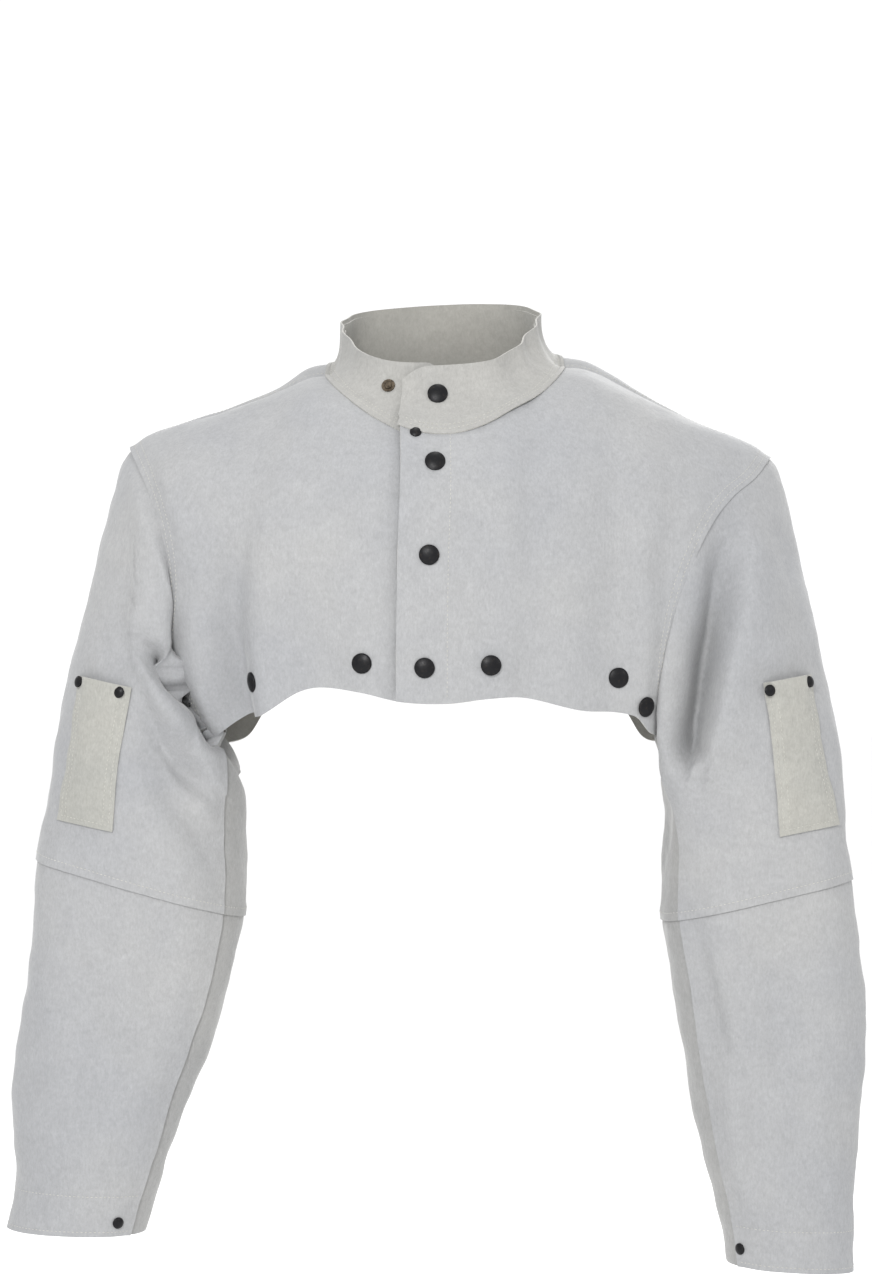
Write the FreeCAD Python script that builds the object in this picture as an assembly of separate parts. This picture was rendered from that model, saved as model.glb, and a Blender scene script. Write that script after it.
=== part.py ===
import FreeCAD, Part
import math
import os
from FreeCAD import Vector

# Leather welding jacket: a short snap-front cape with sleeves, sizes in millimetres.
# +Z is up, the jacket faces -Y and the wearer's left is +X. The origin is the centre of the
# neck opening, level with the shoulder end of the collar seam.

# Leather, and how the layers lie on each other
LEATHER = 1.4
LINING = 1.1
LAYER_GAP = 0.15
SEAM_GAP = 0.6
OVERLAP_RISE = 6.2

# Form of the body: the front and back are half domes that meet along the shoulder line
SHOULDER_LINE = [(-300, -78), (-253, -57.5), (-211, -40.5), (-145, -18.5), (-94, -1), (0, -8),
                 (97, 5), (162, -20), (232, -49), (262, -65.5), (300, -84)]
CHEST_DEPTH = 122
FRONT_DROP = 120
BACK_DEPTH = 105
BACK_DROP = 90
BACK_LEDGE_DEPTH = 62
BACK_LEDGE_RISE = 22
BACK_LEDGE_SPREAD = 120
SIDE_HALF_WIDTH_HIGH = 300
SIDE_HALF_WIDTH_LOW = 188
SIDE_HIGH_Z = -58
UNDERARM_Z = -300
BODY_LOW_Z = -325
BODY_INSIDE = Vector(0, 0, -150)
TOP_CLEAR_Z = 90
SIDE_CLEAR = 400
BODY_LINES = 25
RAISED_LINES = 49

# Neck hole and stand-up collar
NECK_HALF_WIDTH = 93.5
NECK_FRONT = 88
NECK_BACK = 78
NECK_SQUARENESS = 2.5
COLLAR_TOP_HALF_WIDTH = 77.5
COLLAR_TOP_SHIFT = -3.5
COLLAR_TOP_FRONT = 70
COLLAR_TOP_BACK = 66
COLLAR_TOP_Z = 35
COLLAR_TOP_RISE_BACK = 0.42
COLLAR_TOP_RISE_LEFT = 0.045
COLLAR_FLARE = 2.2
COLLAR_OUTER = 1.3
COLLAR_RISE_SHARE = 1.22
UNDER_COLLAR_END = 0.26
COLLAR_OVER_START = -0.45
COLLAR_FOLD = (0.62, 1.45)
COLLAR_GAP_ANGLE = 0.01
COLLAR_LOW = 0.01
COLLAR_OVER_LOW = 0.045
COLLAR_LINING_MARGIN = 0.01
COLLAR_COLUMN_ANGLE = 0.17
COLLAR_ROWS = 6
COLLAR_INSIDE = Vector(0, 0, 15)

# Front closing: the wearer's left front lies over the right one
FLAP_EDGE = [(-24, 2), (-31, -6), (-37, -18), (-36, -45), (-35, -85), (-37, -160), (-38, -290)]
UNDER_LAYER_EDGE_X = 22
PAST_CENTRE = 75
COLLAR_END_LEAN = 13.5
OVERLAP_REACH = 300
RISE_FULL_X = 44
RISE_END_X = 74
FACING_WIDTH = 42
FACING_LOW_Z = -259
FACING_TOP_Z = -48
FLAP_FACING_LOW_Z = -257
FACING_EDGE_MARGIN = 1.5
LINING_EDGE_MARGIN = 0.8
FOLD_ACROSS = Vector(0.87, 0.48, -0.105)
FLAP_SIDE = 20
BODY_SIDE = 68

# Hem, from the wearer's right to left
HEM = [(-190, -297), (-169, -283), (-142, -273), (-117, -257), (-98, -253), (-66, -256.5),
       (-35, -263.5), (0, -265), (32, -261.5), (61, -260.5), (104, -270), (147, -274),
       (160, -287), (188, -297)]
BACK_HEM = [(-166, -297), (-150, -272), (-118, -255), (0, -250), (118, -255), (150, -272), (166, -297)]
BACK_SEAM_BOW = 13.2

# Sleeves. Outer and inner lines run (share of length, x, z) from the armhole to the cuff.
# Seams run (share of the way from the shoulder point to the underarm, x, z).
SLEEVES = {
    "right": {
        "out": -1,
        "outer": [(0, -253.5, -58.5), (0.05, -264, -88), (0.14, -280, -146), (0.25, -300, -221),
                  (0.34, -310, -272), (0.45, -324, -352), (0.5, -330.5, -388), (0.6, -332.5, -452),
                  (0.72, -342, -522), (0.84, -347, -600), (0.93, -346, -650), (1, -351, -689)],
        "inner": [(0, -188, -300), (0.15, -165, -330), (0.3, -163.5, -370), (0.5, -164, -436),
                  (0.6, -174, -485), (0.7, -189, -540), (0.8, -211, -594), (0.9, -229, -648),
                  (1, -243.5, -692)],
        "front_seam": [(0, -253.5, -58.5), (0.12, -239, -86), (0.25, -228, -114),
                       (0.38, -220.5, -145), (0.5, -217.5, -178), (0.64, -220, -215),
                       (0.75, -220, -238), (0.88, -203, -266), (1, -188, -300)],
        "pocket": [(-292, -244), (-248, -253), (-264, -367.5), (-309, -359)],
        "pocket_rivets": [(-288.5, -249.5), (-256.5, -257)],
        "cuff_rivet": (-261, -680),
    },
    "left": {
        "out": 1,
        "outer": [(0, 262, -66), (0.08, 274, -94), (0.17, 288, -151), (0.27, 302, -217),
                  (0.37, 315.5, -282), (0.45, 325, -352), (0.5, 329.5, -403), (0.6, 334, -462),
                  (0.72, 339, -525), (0.84, 336.5, -594), (0.93, 334, -655), (1, 332.5, -722)],
        "inner": [(0, 188, -300), (0.12, 178, -326), (0.25, 182, -365), (0.38, 179.5, -405),
                  (0.5, 176.5, -440), (0.6, 182.5, -490), (0.7, 194, -555), (0.82, 208, -627),
                  (0.92, 221, -680), (1, 226.5, -716)],
        "front_seam": [(0, 262, -66), (0.1, 246.5, -85), (0.2, 227, -101), (0.32, 208, -125),
                       (0.45, 191, -161), (0.6, 178.5, -200), (0.74, 171, -240),
                       (0.88, 172, -276), (1, 188, -300)],
        "pocket": [(291, -243), (251, -249.5), (266, -371.5), (313, -363)],
        "pocket_rivets": [(286.5, -249.5), (254.5, -255.5)],
        "cuff_rivet": (236, -702),
    },
}
HALF_DEPTH = [(0, 78), (0.25, 76), (0.5, 64), (0.75, 56), (1, 49)]
DEPTH_CENTRE = [(0, 0), (0.25, -1), (0.5, -4), (0.75, -8), (1, -14)]
SLEEVE_SQUARENESS = 2.4
ARMHOLE_SHARE = 0.45
ELBOW_SEAM = 0.5
ELBOW_FOLD_END = 0.69
CUFF_BAND_START = 0.945
CUFF_FACING_GAP = 0.8
ARMHOLE_GAP_SHARE = 0.011
UNDERARM_GAP_SHARE = 0.02
INSEAM_GAP_ANGLE = 0.045
FRONT_INSEAM = -(math.pi - 0.65)
BACK_INSEAM = math.pi - 1.1
POCKET_BULGE = 6.5
POCKET_FLAT_SIDES = 2.4
POCKET_LIFT = 0.4
POCKET_STEPS = 8
POCKET_RIVET_LIFT = 3.6
SLEEVE_ROWS = 9
SLEEVE_COLUMNS = 15
PART_GAP_SHARE = 0.001
CUFF_FACING_END = 0.999
CUFF_BAND_GAP_ANGLE = 0.02

# Snap fasteners: cap and socket on the outer layer, stud and eyelet on the under layer
CAP_RADIUS = 8.0
CAP_RIM = 1.2
CAP_CROWN = 2.9
CAP_LIFT = 0.45
POST_SPARE = 0.4
POST_RADIUS = 1.5
POST_HOLE = 1.8
SOCKET_RADIUS = 6.0
SOCKET_RECESS = 3.5
SOCKET_HEIGHT = 2.22
SOCKET_RECESS_DEPTH = 1.75
SOCKET_TOP = 3.2
HEM_SOCKET_GAP = 0.1
STUD_FLANGE_RADIUS = 5.4
STUD_FLANGE = 0.8
STUD_LIFT = 0.1
COLLAR_CURVE_LIFT = 0.3
NUB_RADIUS = 3.1
NUB_TOP = 2.4
EYELET_RADIUS = 4.5
EYELET_HEIGHT = 0.6
EYELET_DEPTH = 3.1
RIVET_RADIUS = 4.6
RIVET_RIM = 0.8
RIVET_CROWN = 2.2
RIVET_LIFT = 0.3
BURR_RADIUS = 4.2
BURR_HEIGHT = 0.8
POCKET_BURR_GAP = 0.35
CUFF_BURR_GAP = 0.5

FRONT_SNAPS = [(-8, -78.5), (-12.5, -149), (-16, -237)]
COLLAR_SNAP = (-6, -21)
COLLAR_SPARE_STUD = (-45, -13.5)
PLACKET_RIVET = (-23.5, -56)
FLAP_HEM_SNAP = (35, -235)
BODY_HEM_SNAPS = [(-152, -248.5), (-65, -233.5), (136, -245)]
CURL_HEM_SNAP = (158, -268)


# ---------------------------------------------------------------- plain curves

def along(points, t):
    """Smooth curve through rows of (parameter, value, ...), read at parameter t."""
    last = len(points) - 1
    t = min(max(t, points[0][0]), points[-1][0])
    k = 0
    while k < last - 1 and t > points[k + 1][0]:
        k += 1

    def slope(i, column):
        low = points[max(i - 1, 0)]
        high = points[min(i + 1, last)]
        return (high[column] - low[column]) / (high[0] - low[0])

    start, end = points[k], points[k + 1]
    span = end[0] - start[0]
    u = (t - start[0]) / span
    values = []
    for column in range(1, len(start)):
        value = (2 * u**3 - 3 * u**2 + 1) * start[column]
        value += (u**3 - 2 * u**2 + u) * slope(k, column) * span
        value += (-2 * u**3 + 3 * u**2) * end[column]
        value += (u**3 - u**2) * slope(k + 1, column) * span
        values.append(value)
    return values


def smooth(t):
    t = min(max(t, 0), 1)
    return t * t * (3 - 2 * t)


def evenly(points, count):
    """Points spaced evenly along a polyline."""
    lengths = [0]
    for a, b in zip(points, points[1:]):
        lengths.append(lengths[-1] + (b - a).Length)
    result = []
    k = 0
    for i in range(count):
        target = lengths[-1] * i / (count - 1)
        while k < len(points) - 2 and lengths[k + 1] < target:
            k += 1
        step = lengths[k + 1] - lengths[k]
        share = (target - lengths[k]) / step if step else 0
        result.append(points[k] + (points[k + 1] - points[k]) * share)
    return result


# ---------------------------------------------------------------- form of the body

def shoulder_z(x):
    return along(SHOULDER_LINE, x)[0]


def side_x(z):
    """Half-width at which the front and the back meet."""
    share = (z - SIDE_HIGH_Z) / (UNDERARM_Z - SIDE_HIGH_Z)
    return SIDE_HALF_WIDTH_LOW + (SIDE_HALF_WIDTH_HIGH - SIDE_HALF_WIDTH_LOW) * (1 - share**2)


def roundness(x, z):
    return math.sqrt(max(1 - (x / side_x(z)) ** 2, 0))


def front_y(x, z):
    cosine = max(0, 1 - max(shoulder_z(x) - z, 0) / FRONT_DROP)
    return -CHEST_DEPTH * math.sqrt(1 - cosine**2) * roundness(x, z)


def back_ledge(x):
    """Depth and height of the nearly level strip behind the shoulder line."""
    spread = math.exp(-((x / BACK_LEDGE_SPREAD) ** 2))
    return BACK_LEDGE_DEPTH * spread, shoulder_z(x) + BACK_LEDGE_RISE * spread


def back_y(x, z):
    depth, top = back_ledge(x)
    cosine = max(0, 1 - max(top - z, 0) / BACK_DROP)
    return (depth + (BACK_DEPTH - depth) * math.sqrt(1 - cosine**2)) * roundness(x, z)


def neck_z(x, y):
    """Height of the body's upper surface at a point of the neck seam."""
    if y <= 0:
        sine = min(-y / (CHEST_DEPTH * roundness(x, 0)), 1)
        return shoulder_z(x) - FRONT_DROP * (1 - math.sqrt(1 - sine**2))
    depth, top = back_ledge(x)
    y = y / roundness(x, 0)
    if y < depth:
        return top - (top - shoulder_z(x)) * (1 - y / depth) ** 2
    sine = min((y - depth) / (BACK_DEPTH - depth), 1)
    return top - BACK_DROP * (1 - math.sqrt(1 - sine**2))


def body_line(psi, front, count):
    """One line of the body's form, from the shoulder line down, at one angle round the body."""
    points = []
    for i in range(121):
        v = i / 120
        x = 200 * math.sin(psi)
        z = 0
        for _ in range(12):
            if front:
                drop = FRONT_DROP * (1 - math.cos(min(v * 2, 1) * math.pi / 2))
                top = shoulder_z(x)
                low = max(v * 2 - 1, 0)
                y = -CHEST_DEPTH * math.sin(min(v * 2, 1) * math.pi / 2)
            else:
                depth, top = back_ledge(x)
                ledge = min(v * 4, 1)
                phi = min(max(v * 4 - 1, 0), 1) * math.pi / 2
                low = max(v * 2 - 1, 0)
                drop = (top - shoulder_z(x)) * (1 - ledge) ** 2 + BACK_DROP * (1 - math.cos(phi))
                y = depth * ledge + (BACK_DEPTH - depth) * math.sin(phi)
            z = top - drop
            z = z + (BODY_LOW_Z - z) * low
            x = side_x(z) * math.sin(psi)
        points.append(Vector(x, y * math.cos(psi), z))
    return evenly(points, count)


def body_grid(front, lines=BODY_LINES, count=23):
    reach = math.pi / 2
    return [body_line(-reach + 2 * reach * i / (lines - 1), front, count) for i in range(lines)]


def rise(x):
    """How far the overlapping front stands off the body's form."""
    return OVERLAP_RISE * smooth((RISE_END_X - x) / (RISE_END_X - RISE_FULL_X))


# ---------------------------------------------------------------- thin shells from point grids

def grid_normals(grid, inside):
    rows, columns = len(grid), len(grid[0])
    normals = []
    for i in range(rows):
        line = []
        for j in range(columns):
            du = grid[min(i + 1, rows - 1)][j] - grid[max(i - 1, 0)][j]
            dv = grid[i][min(j + 1, columns - 1)] - grid[i][max(j - 1, 0)]
            normal = du.cross(dv)
            normal.normalize()
            line.append(normal)
        normals.append(line)
    middle = normals[rows // 2][columns // 2]
    if middle.dot(grid[rows // 2][columns // 2] - inside) < 0:
        normals = [[-n for n in line] for line in normals]
    return normals


def moved_out(grid, inside, distance):
    """Grid moved along its outward normals; distance is a number or a function of the point."""
    normals = grid_normals(grid, inside)
    result = []
    for line, directions in zip(grid, normals):
        result.append([p + n * (distance(p) if callable(distance) else distance)
                       for p, n in zip(line, directions)])
    return result


def middles(knots, mults, degree):
    """Parameters that belong to the poles of a spline with these knots."""
    row = [k for k, m in zip(knots, mults) for _ in range(m)]
    return [sum(row[i + 1:i + 1 + degree]) / degree for i in range(len(row) - degree - 1)]


def sunk_poles(surface, inside, depth):
    """Poles of a spline surface, moved inward along the surface's own normals."""
    us = middles(surface.getUKnots(), surface.getUMultiplicities(), surface.UDegree)
    vs = middles(surface.getVKnots(), surface.getVMultiplicities(), surface.VDegree)
    u, v = us[len(us) // 2], vs[len(vs) // 2]
    sign = 1 if surface.normal(u, v).dot(surface.value(u, v) - inside) > 0 else -1
    return [[pole - surface.normal(u, v) * (depth * sign) for pole, v in zip(line, vs)]
            for line, u in zip(surface.getPoles(), us)]


def edge_face(low, high, knots, mults, degree):
    """Straight-ruled face between two spline edges that share their knots."""
    surface = Part.BSplineSurface()
    surface.buildFromPolesMultsKnots([low, high], [2, 2], mults, [0, 1], knots,
                                     False, False, 1, degree)
    return surface.toShape()


def skin(grid, inside, thickness, out=0):
    """Thin solid whose outer face passes through a grid moved out by a distance."""
    outer = Part.BSplineSurface()
    outer.interpolate(moved_out(grid, inside, out) if out else grid)
    uk, um, ud = outer.getUKnots(), outer.getUMultiplicities(), outer.UDegree
    vk, vm, vd = outer.getVKnots(), outer.getVMultiplicities(), outer.VDegree
    high = outer.getPoles()
    low = sunk_poles(outer, inside, thickness)
    inner = Part.BSplineSurface()
    inner.buildFromPolesMultsKnots(low, um, vm, uk, vk, False, False, ud, vd)
    faces = [outer.toShape(), inner.toShape()]
    for k in (0, -1):
        faces.append(edge_face(low[k], high[k], vk, vm, vd))
        faces.append(edge_face([line[k] for line in low], [line[k] for line in high], uk, um, ud))
    shell = Part.makeShell(faces)
    shell.sewShape()
    solid = Part.makeSolid(shell)
    if solid.Volume < 0:
        solid.reverse()
    return solid


def outline_prism(points, y_from, y_to):
    """Block whose front-view outline is made of smooth stretches, each a list of (x, z)."""
    edges = []
    ends = []
    for stretch in points:
        line = [Vector(x, y_from, z) for x, z in stretch]
        ends.append((line[0], line[-1]))
        if len(line) == 2:
            edges.append(Part.makeLine(line[0], line[1]))
        else:
            curve = Part.BSplineCurve()
            curve.interpolate(line)
            edges.append(curve.toShape())
    for (_, end), (start, _) in zip(ends, ends[1:] + ends[:1]):
        if (start - end).Length > 1e-6:
            edges.append(Part.makeLine(end, start))
    wire = Part.Wire(Part.__sortEdges__(edges))
    return Part.Face(wire).extrude(Vector(0, y_to - y_from, 0))


def half_space(share_from, share_to):
    """Slab across the front, between two distances measured along the fold's direction."""
    size = 2 * SIDE_CLEAR
    across = Vector(FOLD_ACROSS).normalize()
    slab = Part.makeBox(size, size, share_to - share_from)
    slab.translate(Vector(-size / 2, -size / 2, share_from))
    turn = FreeCAD.Placement(Vector(0, 0, 0), FreeCAD.Rotation(Vector(0, 0, 1), across))
    slab.Placement = turn.multiply(slab.Placement)
    return slab


def neck_radius(alpha, extra=0):
    """Distance from the neck's centre to its seam, at an angle from the front centre."""
    depth = NECK_FRONT if math.cos(alpha) > 0 else NECK_BACK
    n = NECK_SQUARENESS
    across = abs(math.sin(alpha)) / NECK_HALF_WIDTH
    ahead = abs(math.cos(alpha)) / depth
    return (across**n + ahead**n) ** (-1 / n) + extra


def neck_cutter(lift):
    """Block that clears the neck hole, with the overlap's rise added where lift says so."""
    points = []
    for i in range(48):
        alpha = 2 * math.pi * i / 48
        radius = neck_radius(alpha, SEAM_GAP / 2)
        if lift and math.cos(alpha) > 0:
            radius += rise(radius * math.sin(alpha))
        points.append(Vector(radius * math.sin(alpha), -radius * math.cos(alpha), -90))
    curve = Part.BSplineCurve()
    curve.interpolate(points, PeriodicFlag=True)
    return Part.Face(Part.Wire(curve.toShape())).extrude(Vector(0, 0, 190))


# ---------------------------------------------------------------- body panels

def seam_points(side, inset):
    seam = SLEEVES[side]["front_seam"]
    out = SLEEVES[side]["out"]
    points = [along(seam, i / 12) for i in range(13)]
    return [(x - out * inset, z) for x, z in points]


def front_outline(side):
    """Front-view outline of one whole front, past the shoulder line and the centre."""
    out = SLEEVES[side]["out"]
    seam = seam_points(side, SEAM_GAP / 2)
    hem = [p for p in HEM if out * p[0] > -PAST_CENTRE]
    hem = sorted(hem, key=lambda p: -out * p[0])
    hem[0] = seam[-1]
    inner_x = hem[-1][0]
    top = [(inner_x, TOP_CLEAR_Z), (seam[0][0], TOP_CLEAR_Z)]
    return [seam, hem, [hem[-1], top[0]], top, [top[1], seam[0]]]


def biggest(shape):
    """The main solid of a cut, so that no sliver is left."""
    return max(shape.Solids, key=lambda s: s.Volume)


def front_layer(side, grid, lift, out, thickness, cutters):
    shell = skin(grid, BODY_INSIDE, thickness, out)
    panel = shell.common(outline_prism(front_outline(side), -SIDE_CLEAR, -SEAM_GAP / 2))
    panel = panel.cut(neck_cutter(lift))
    for keep in cutters:
        panel = panel.common(keep)
    return biggest(panel)


def strip_prism(x_from, x_to, z_from, z_to):
    """Block in front of the body, between two widths and two heights."""
    box = Part.makeBox(x_to - x_from, SIDE_CLEAR, z_to - z_from)
    box.translate(Vector(x_from, -SIDE_CLEAR, z_from))
    return box


def flap_side_prism(shift, width):
    """Block to the right of the overlap's free edge, as wide as asked."""
    edge = [(x + shift, z) for x, z in FLAP_EDGE]
    far = edge[-1][0] + width
    top = (edge[0][0] + COLLAR_END_LEAN, TOP_CLEAR_Z)
    corners = [edge[-1], (far, edge[-1][1]), (far, TOP_CLEAR_Z), top, edge[0]]
    return outline_prism([edge] + [list(pair) for pair in zip(corners, corners[1:])], -SIDE_CLEAR, 0)


def body_panels():
    """Fronts with their facings, the strip that folds as the overlap opens, and the back."""
    front = body_grid(True)
    parts = {}
    whole = strip_prism(-SIDE_CLEAR, UNDER_LAYER_EDGE_X, -SIDE_CLEAR, TOP_CLEAR_Z)
    parts["right_front_panel"] = front_layer("right", front, False, 0, LEATHER, [whole])
    facing_from = UNDER_LAYER_EDGE_X - FACING_WIDTH
    facing = strip_prism(facing_from, UNDER_LAYER_EDGE_X, FACING_LOW_Z, FACING_TOP_Z)
    under = -(LEATHER + LAYER_GAP)
    parts["right_front_facing"] = front_layer("right", front, False, under, LINING, [facing])
    parts["left_front_panel"] = front_layer("left", front, True, 0, LEATHER,
                                            [half_space(BODY_SIDE, SIDE_CLEAR)])
    raised = moved_out(body_grid(True, RAISED_LINES), BODY_INSIDE, lambda p: rise(p.x))
    edge = flap_side_prism(0, OVERLAP_REACH)
    parts["front_fold_strip"] = front_layer(
        "left", raised, True, 0, LEATHER,
        [edge, half_space(FLAP_SIDE + SEAM_GAP, BODY_SIDE - SEAM_GAP)])
    parts["left_front_flap"] = front_layer("left", raised, True, 0, LEATHER,
                                           [edge, half_space(-SIDE_CLEAR, FLAP_SIDE)])
    strip = flap_side_prism(FACING_EDGE_MARGIN, FACING_WIDTH)
    low = strip_prism(-SIDE_CLEAR, SIDE_CLEAR, FLAP_FACING_LOW_Z, TOP_CLEAR_Z)
    parts["left_front_facing"] = front_layer("left", raised, True, under, LINING, [strip, low])
    parts["back_panel"] = back_panel()
    return parts


def back_panel():
    shell = skin(body_grid(False), BODY_INSIDE, LEATHER)
    seams = {}
    for side, sleeve in SLEEVES.items():
        spots = [back_seam(side, i / 12) for i in range(13)]
        seams[side] = [(x - sleeve["out"] * SEAM_GAP, z) for x, z in spots]
    right = seams["right"]
    left = seams["left"][::-1]
    hem = [right[-1]] + BACK_HEM + [left[0]]
    corners = [left[-1], (left[-1][0], TOP_CLEAR_Z), (right[0][0], TOP_CLEAR_Z), right[0]]
    outline = [right, hem, left] + [list(pair) for pair in zip(corners, corners[1:])]
    panel = shell.common(outline_prism(outline, SEAM_GAP / 2, SIDE_CLEAR))
    return biggest(panel.cut(neck_cutter(False)))


# ---------------------------------------------------------------- collar

def collar_point(alpha, share, out=0):
    """Point of the collar's outer face: angle from the front centre, share of its height."""
    low = neck_radius(alpha, out)
    bottom = Vector(low * math.sin(alpha), -low * math.cos(alpha), 0)
    bottom.z = neck_z(bottom.x * (1 - out / low), bottom.y * (1 - out / low))
    depth = COLLAR_TOP_FRONT if math.cos(alpha) > 0 else COLLAR_TOP_BACK
    across = abs(math.sin(alpha)) / COLLAR_TOP_HALF_WIDTH
    ahead = abs(math.cos(alpha)) / depth
    high = (across**NECK_SQUARENESS + ahead**NECK_SQUARENESS) ** (-1 / NECK_SQUARENESS) + out
    top = Vector(high * math.sin(alpha) + COLLAR_TOP_SHIFT, -high * math.cos(alpha), 0)
    top.z = COLLAR_TOP_Z + COLLAR_TOP_RISE_BACK * top.y + COLLAR_TOP_RISE_LEFT * top.x
    lean = 1 - (1 - share) ** COLLAR_FLARE
    point = bottom + (top - bottom) * lean
    point.z = bottom.z + (top.z - bottom.z) * share
    return point


def collar_rise(alpha):
    if math.cos(alpha) <= 0:
        return 0
    return COLLAR_RISE_SHARE * rise(neck_radius(alpha) * math.sin(alpha))


def collar_band(start, end, lifted, inward, thickness, low, high=1.0):
    """Part of the collar between two angles, as one layer of leather."""
    columns = max(9, int((end - start) / COLLAR_COLUMN_ANGLE))
    grid = []
    for i in range(columns + 1):
        alpha = start + (end - start) * i / columns
        out = collar_rise(alpha) if lifted else 0
        grid.append([collar_point(alpha, low + (high - low) * j / COLLAR_ROWS, out)
                     for j in range(COLLAR_ROWS + 1)])
    return skin(grid, COLLAR_INSIDE, thickness, -inward)


def collar_parts():
    """Under collar round the neck, and the part over it that opens with the left front."""
    inner = COLLAR_OUTER + LAYER_GAP
    start = COLLAR_FOLD[1] + COLLAR_GAP_ANGLE
    end = 2 * math.pi + UNDER_COLLAR_END
    fold = (COLLAR_FOLD[0] + COLLAR_GAP_ANGLE, COLLAR_FOLD[1])
    lining_low = COLLAR_LOW + COLLAR_LINING_MARGIN
    lining_high = 1 - 2 * COLLAR_LINING_MARGIN
    parts = {
        "collar_outer": collar_band(start, end, False, 0, COLLAR_OUTER, COLLAR_LOW),
        "collar_lining": collar_band(start, end, False, inner, LINING, lining_low, lining_high),
        "collar_fold_strip": collar_band(fold[0], fold[1], True, 0, COLLAR_OUTER, COLLAR_OVER_LOW),
    }
    over = collar_band(COLLAR_OVER_START, COLLAR_FOLD[0], True, 0, COLLAR_OUTER, COLLAR_OVER_LOW)
    lining_low = COLLAR_OVER_LOW + COLLAR_LINING_MARGIN
    lining = collar_band(COLLAR_OVER_START, COLLAR_FOLD[0], True, inner, LINING, lining_low, lining_high)
    edge = flap_side_prism(0, OVERLAP_REACH)
    lining_edge = flap_side_prism(LINING_EDGE_MARGIN, OVERLAP_REACH)
    parts["collar_overlap_outer"] = biggest(over.common(edge))
    parts["collar_overlap_lining"] = biggest(lining.common(lining_edge))
    return parts


# ---------------------------------------------------------------- sleeves

def back_seam(side, t):
    """Armhole seam at the back: a gently bowed line from the shoulder point to the underarm."""
    seam = SLEEVES[side]["front_seam"]
    start, end = seam[0], seam[-1]
    bow = BACK_SEAM_BOW * math.sin(math.pi * t) * SLEEVES[side]["out"]
    x = start[1] + (end[1] - start[1]) * t + bow
    z = start[2] + (end[2] - start[2]) * t
    return x, z


def sleeve_point(side, s, theta):
    """Point of a sleeve: share of its length, angle from the outer line (negative in front)."""
    sleeve = SLEEVES[side]
    xo, zo = along(sleeve["outer"], s)
    xi, zi = along(sleeve["inner"], s)
    n = SLEEVE_SQUARENESS
    radius = (abs(math.cos(theta)) ** n + abs(math.sin(theta)) ** n) ** (-1 / n)
    c, d = radius * math.cos(theta), radius * math.sin(theta)
    half_depth = along(HALF_DEPTH, s)[0]
    centre_y = along(DEPTH_CENTRE, s)[0]
    flat = Vector((xo + xi) / 2 + (xo - xi) / 2 * c, centre_y + half_depth * d,
                  (zo + zi) / 2 + (zo - zi) / 2 * c)
    hold = 1 - smooth(s / ARMHOLE_SHARE)
    if not hold:
        return flat
    (xo, zo), (xi, zi) = along(sleeve["outer"], 0), along(sleeve["inner"], 0)
    half_depth = HALF_DEPTH[0][1]
    plain = Vector((xo + xi) / 2 + (xo - xi) / 2 * c, half_depth * d,
                   (zo + zi) / 2 + (zo - zi) / 2 * c)
    t = (1 - c) / 2
    if d <= 0:
        x, z = along(sleeve["front_seam"], t)
        y = front_y(x, z)
    else:
        x, z = back_seam(side, t)
        y = back_y(x, z)
    return flat + (Vector(x, y, z) - plain) * hold


def sleeve_patch(side, s_range, theta_range, inward=0, thickness=LEATHER,
                 rows=SLEEVE_ROWS, columns=SLEEVE_COLUMNS):
    grid = []
    for i in range(columns + 1):
        theta = theta_range[0] + (theta_range[1] - theta_range[0]) * i / columns
        grid.append([sleeve_point(side, s_range[0] + (s_range[1] - s_range[0]) * j / rows, theta)
                     for j in range(rows + 1)])
    middle = (s_range[0] + s_range[1]) / 2
    centre = (sleeve_point(side, middle, 0) + sleeve_point(side, middle, math.pi)) / 2
    return skin(grid, centre, thickness, -inward)


def sleeve_front(side, x, z):
    """Length share and angle of the sleeve's front point seen at x, z from the front."""
    s, theta = 0.4, -math.pi / 2
    step = 1e-4
    for _ in range(25):
        here = sleeve_point(side, s, theta)
        ds = (sleeve_point(side, s + step, theta) - here) * (1 / step)
        dt = (sleeve_point(side, s, theta + step) - here) * (1 / step)
        det = ds.x * dt.z - ds.z * dt.x
        rx, rz = x - here.x, z - here.z
        s += max(-0.1, min(0.1, (rx * dt.z - rz * dt.x) / det))
        theta += max(-0.3, min(0.3, (ds.x * rz - ds.z * rx) / det))
        s = min(max(s, 0.001), 0.999)
    return s, theta


def sleeve_normal(side, s, theta):
    step = 1e-3
    ds = sleeve_point(side, s + step, theta) - sleeve_point(side, s - step, theta)
    dt = sleeve_point(side, s, theta + step) - sleeve_point(side, s, theta - step)
    normal = ds.cross(dt)
    normal.normalize()
    centre = (sleeve_point(side, s, 0) + sleeve_point(side, s, math.pi)) / 2
    return normal if normal.dot(sleeve_point(side, s, theta) - centre) > 0 else -normal


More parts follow.
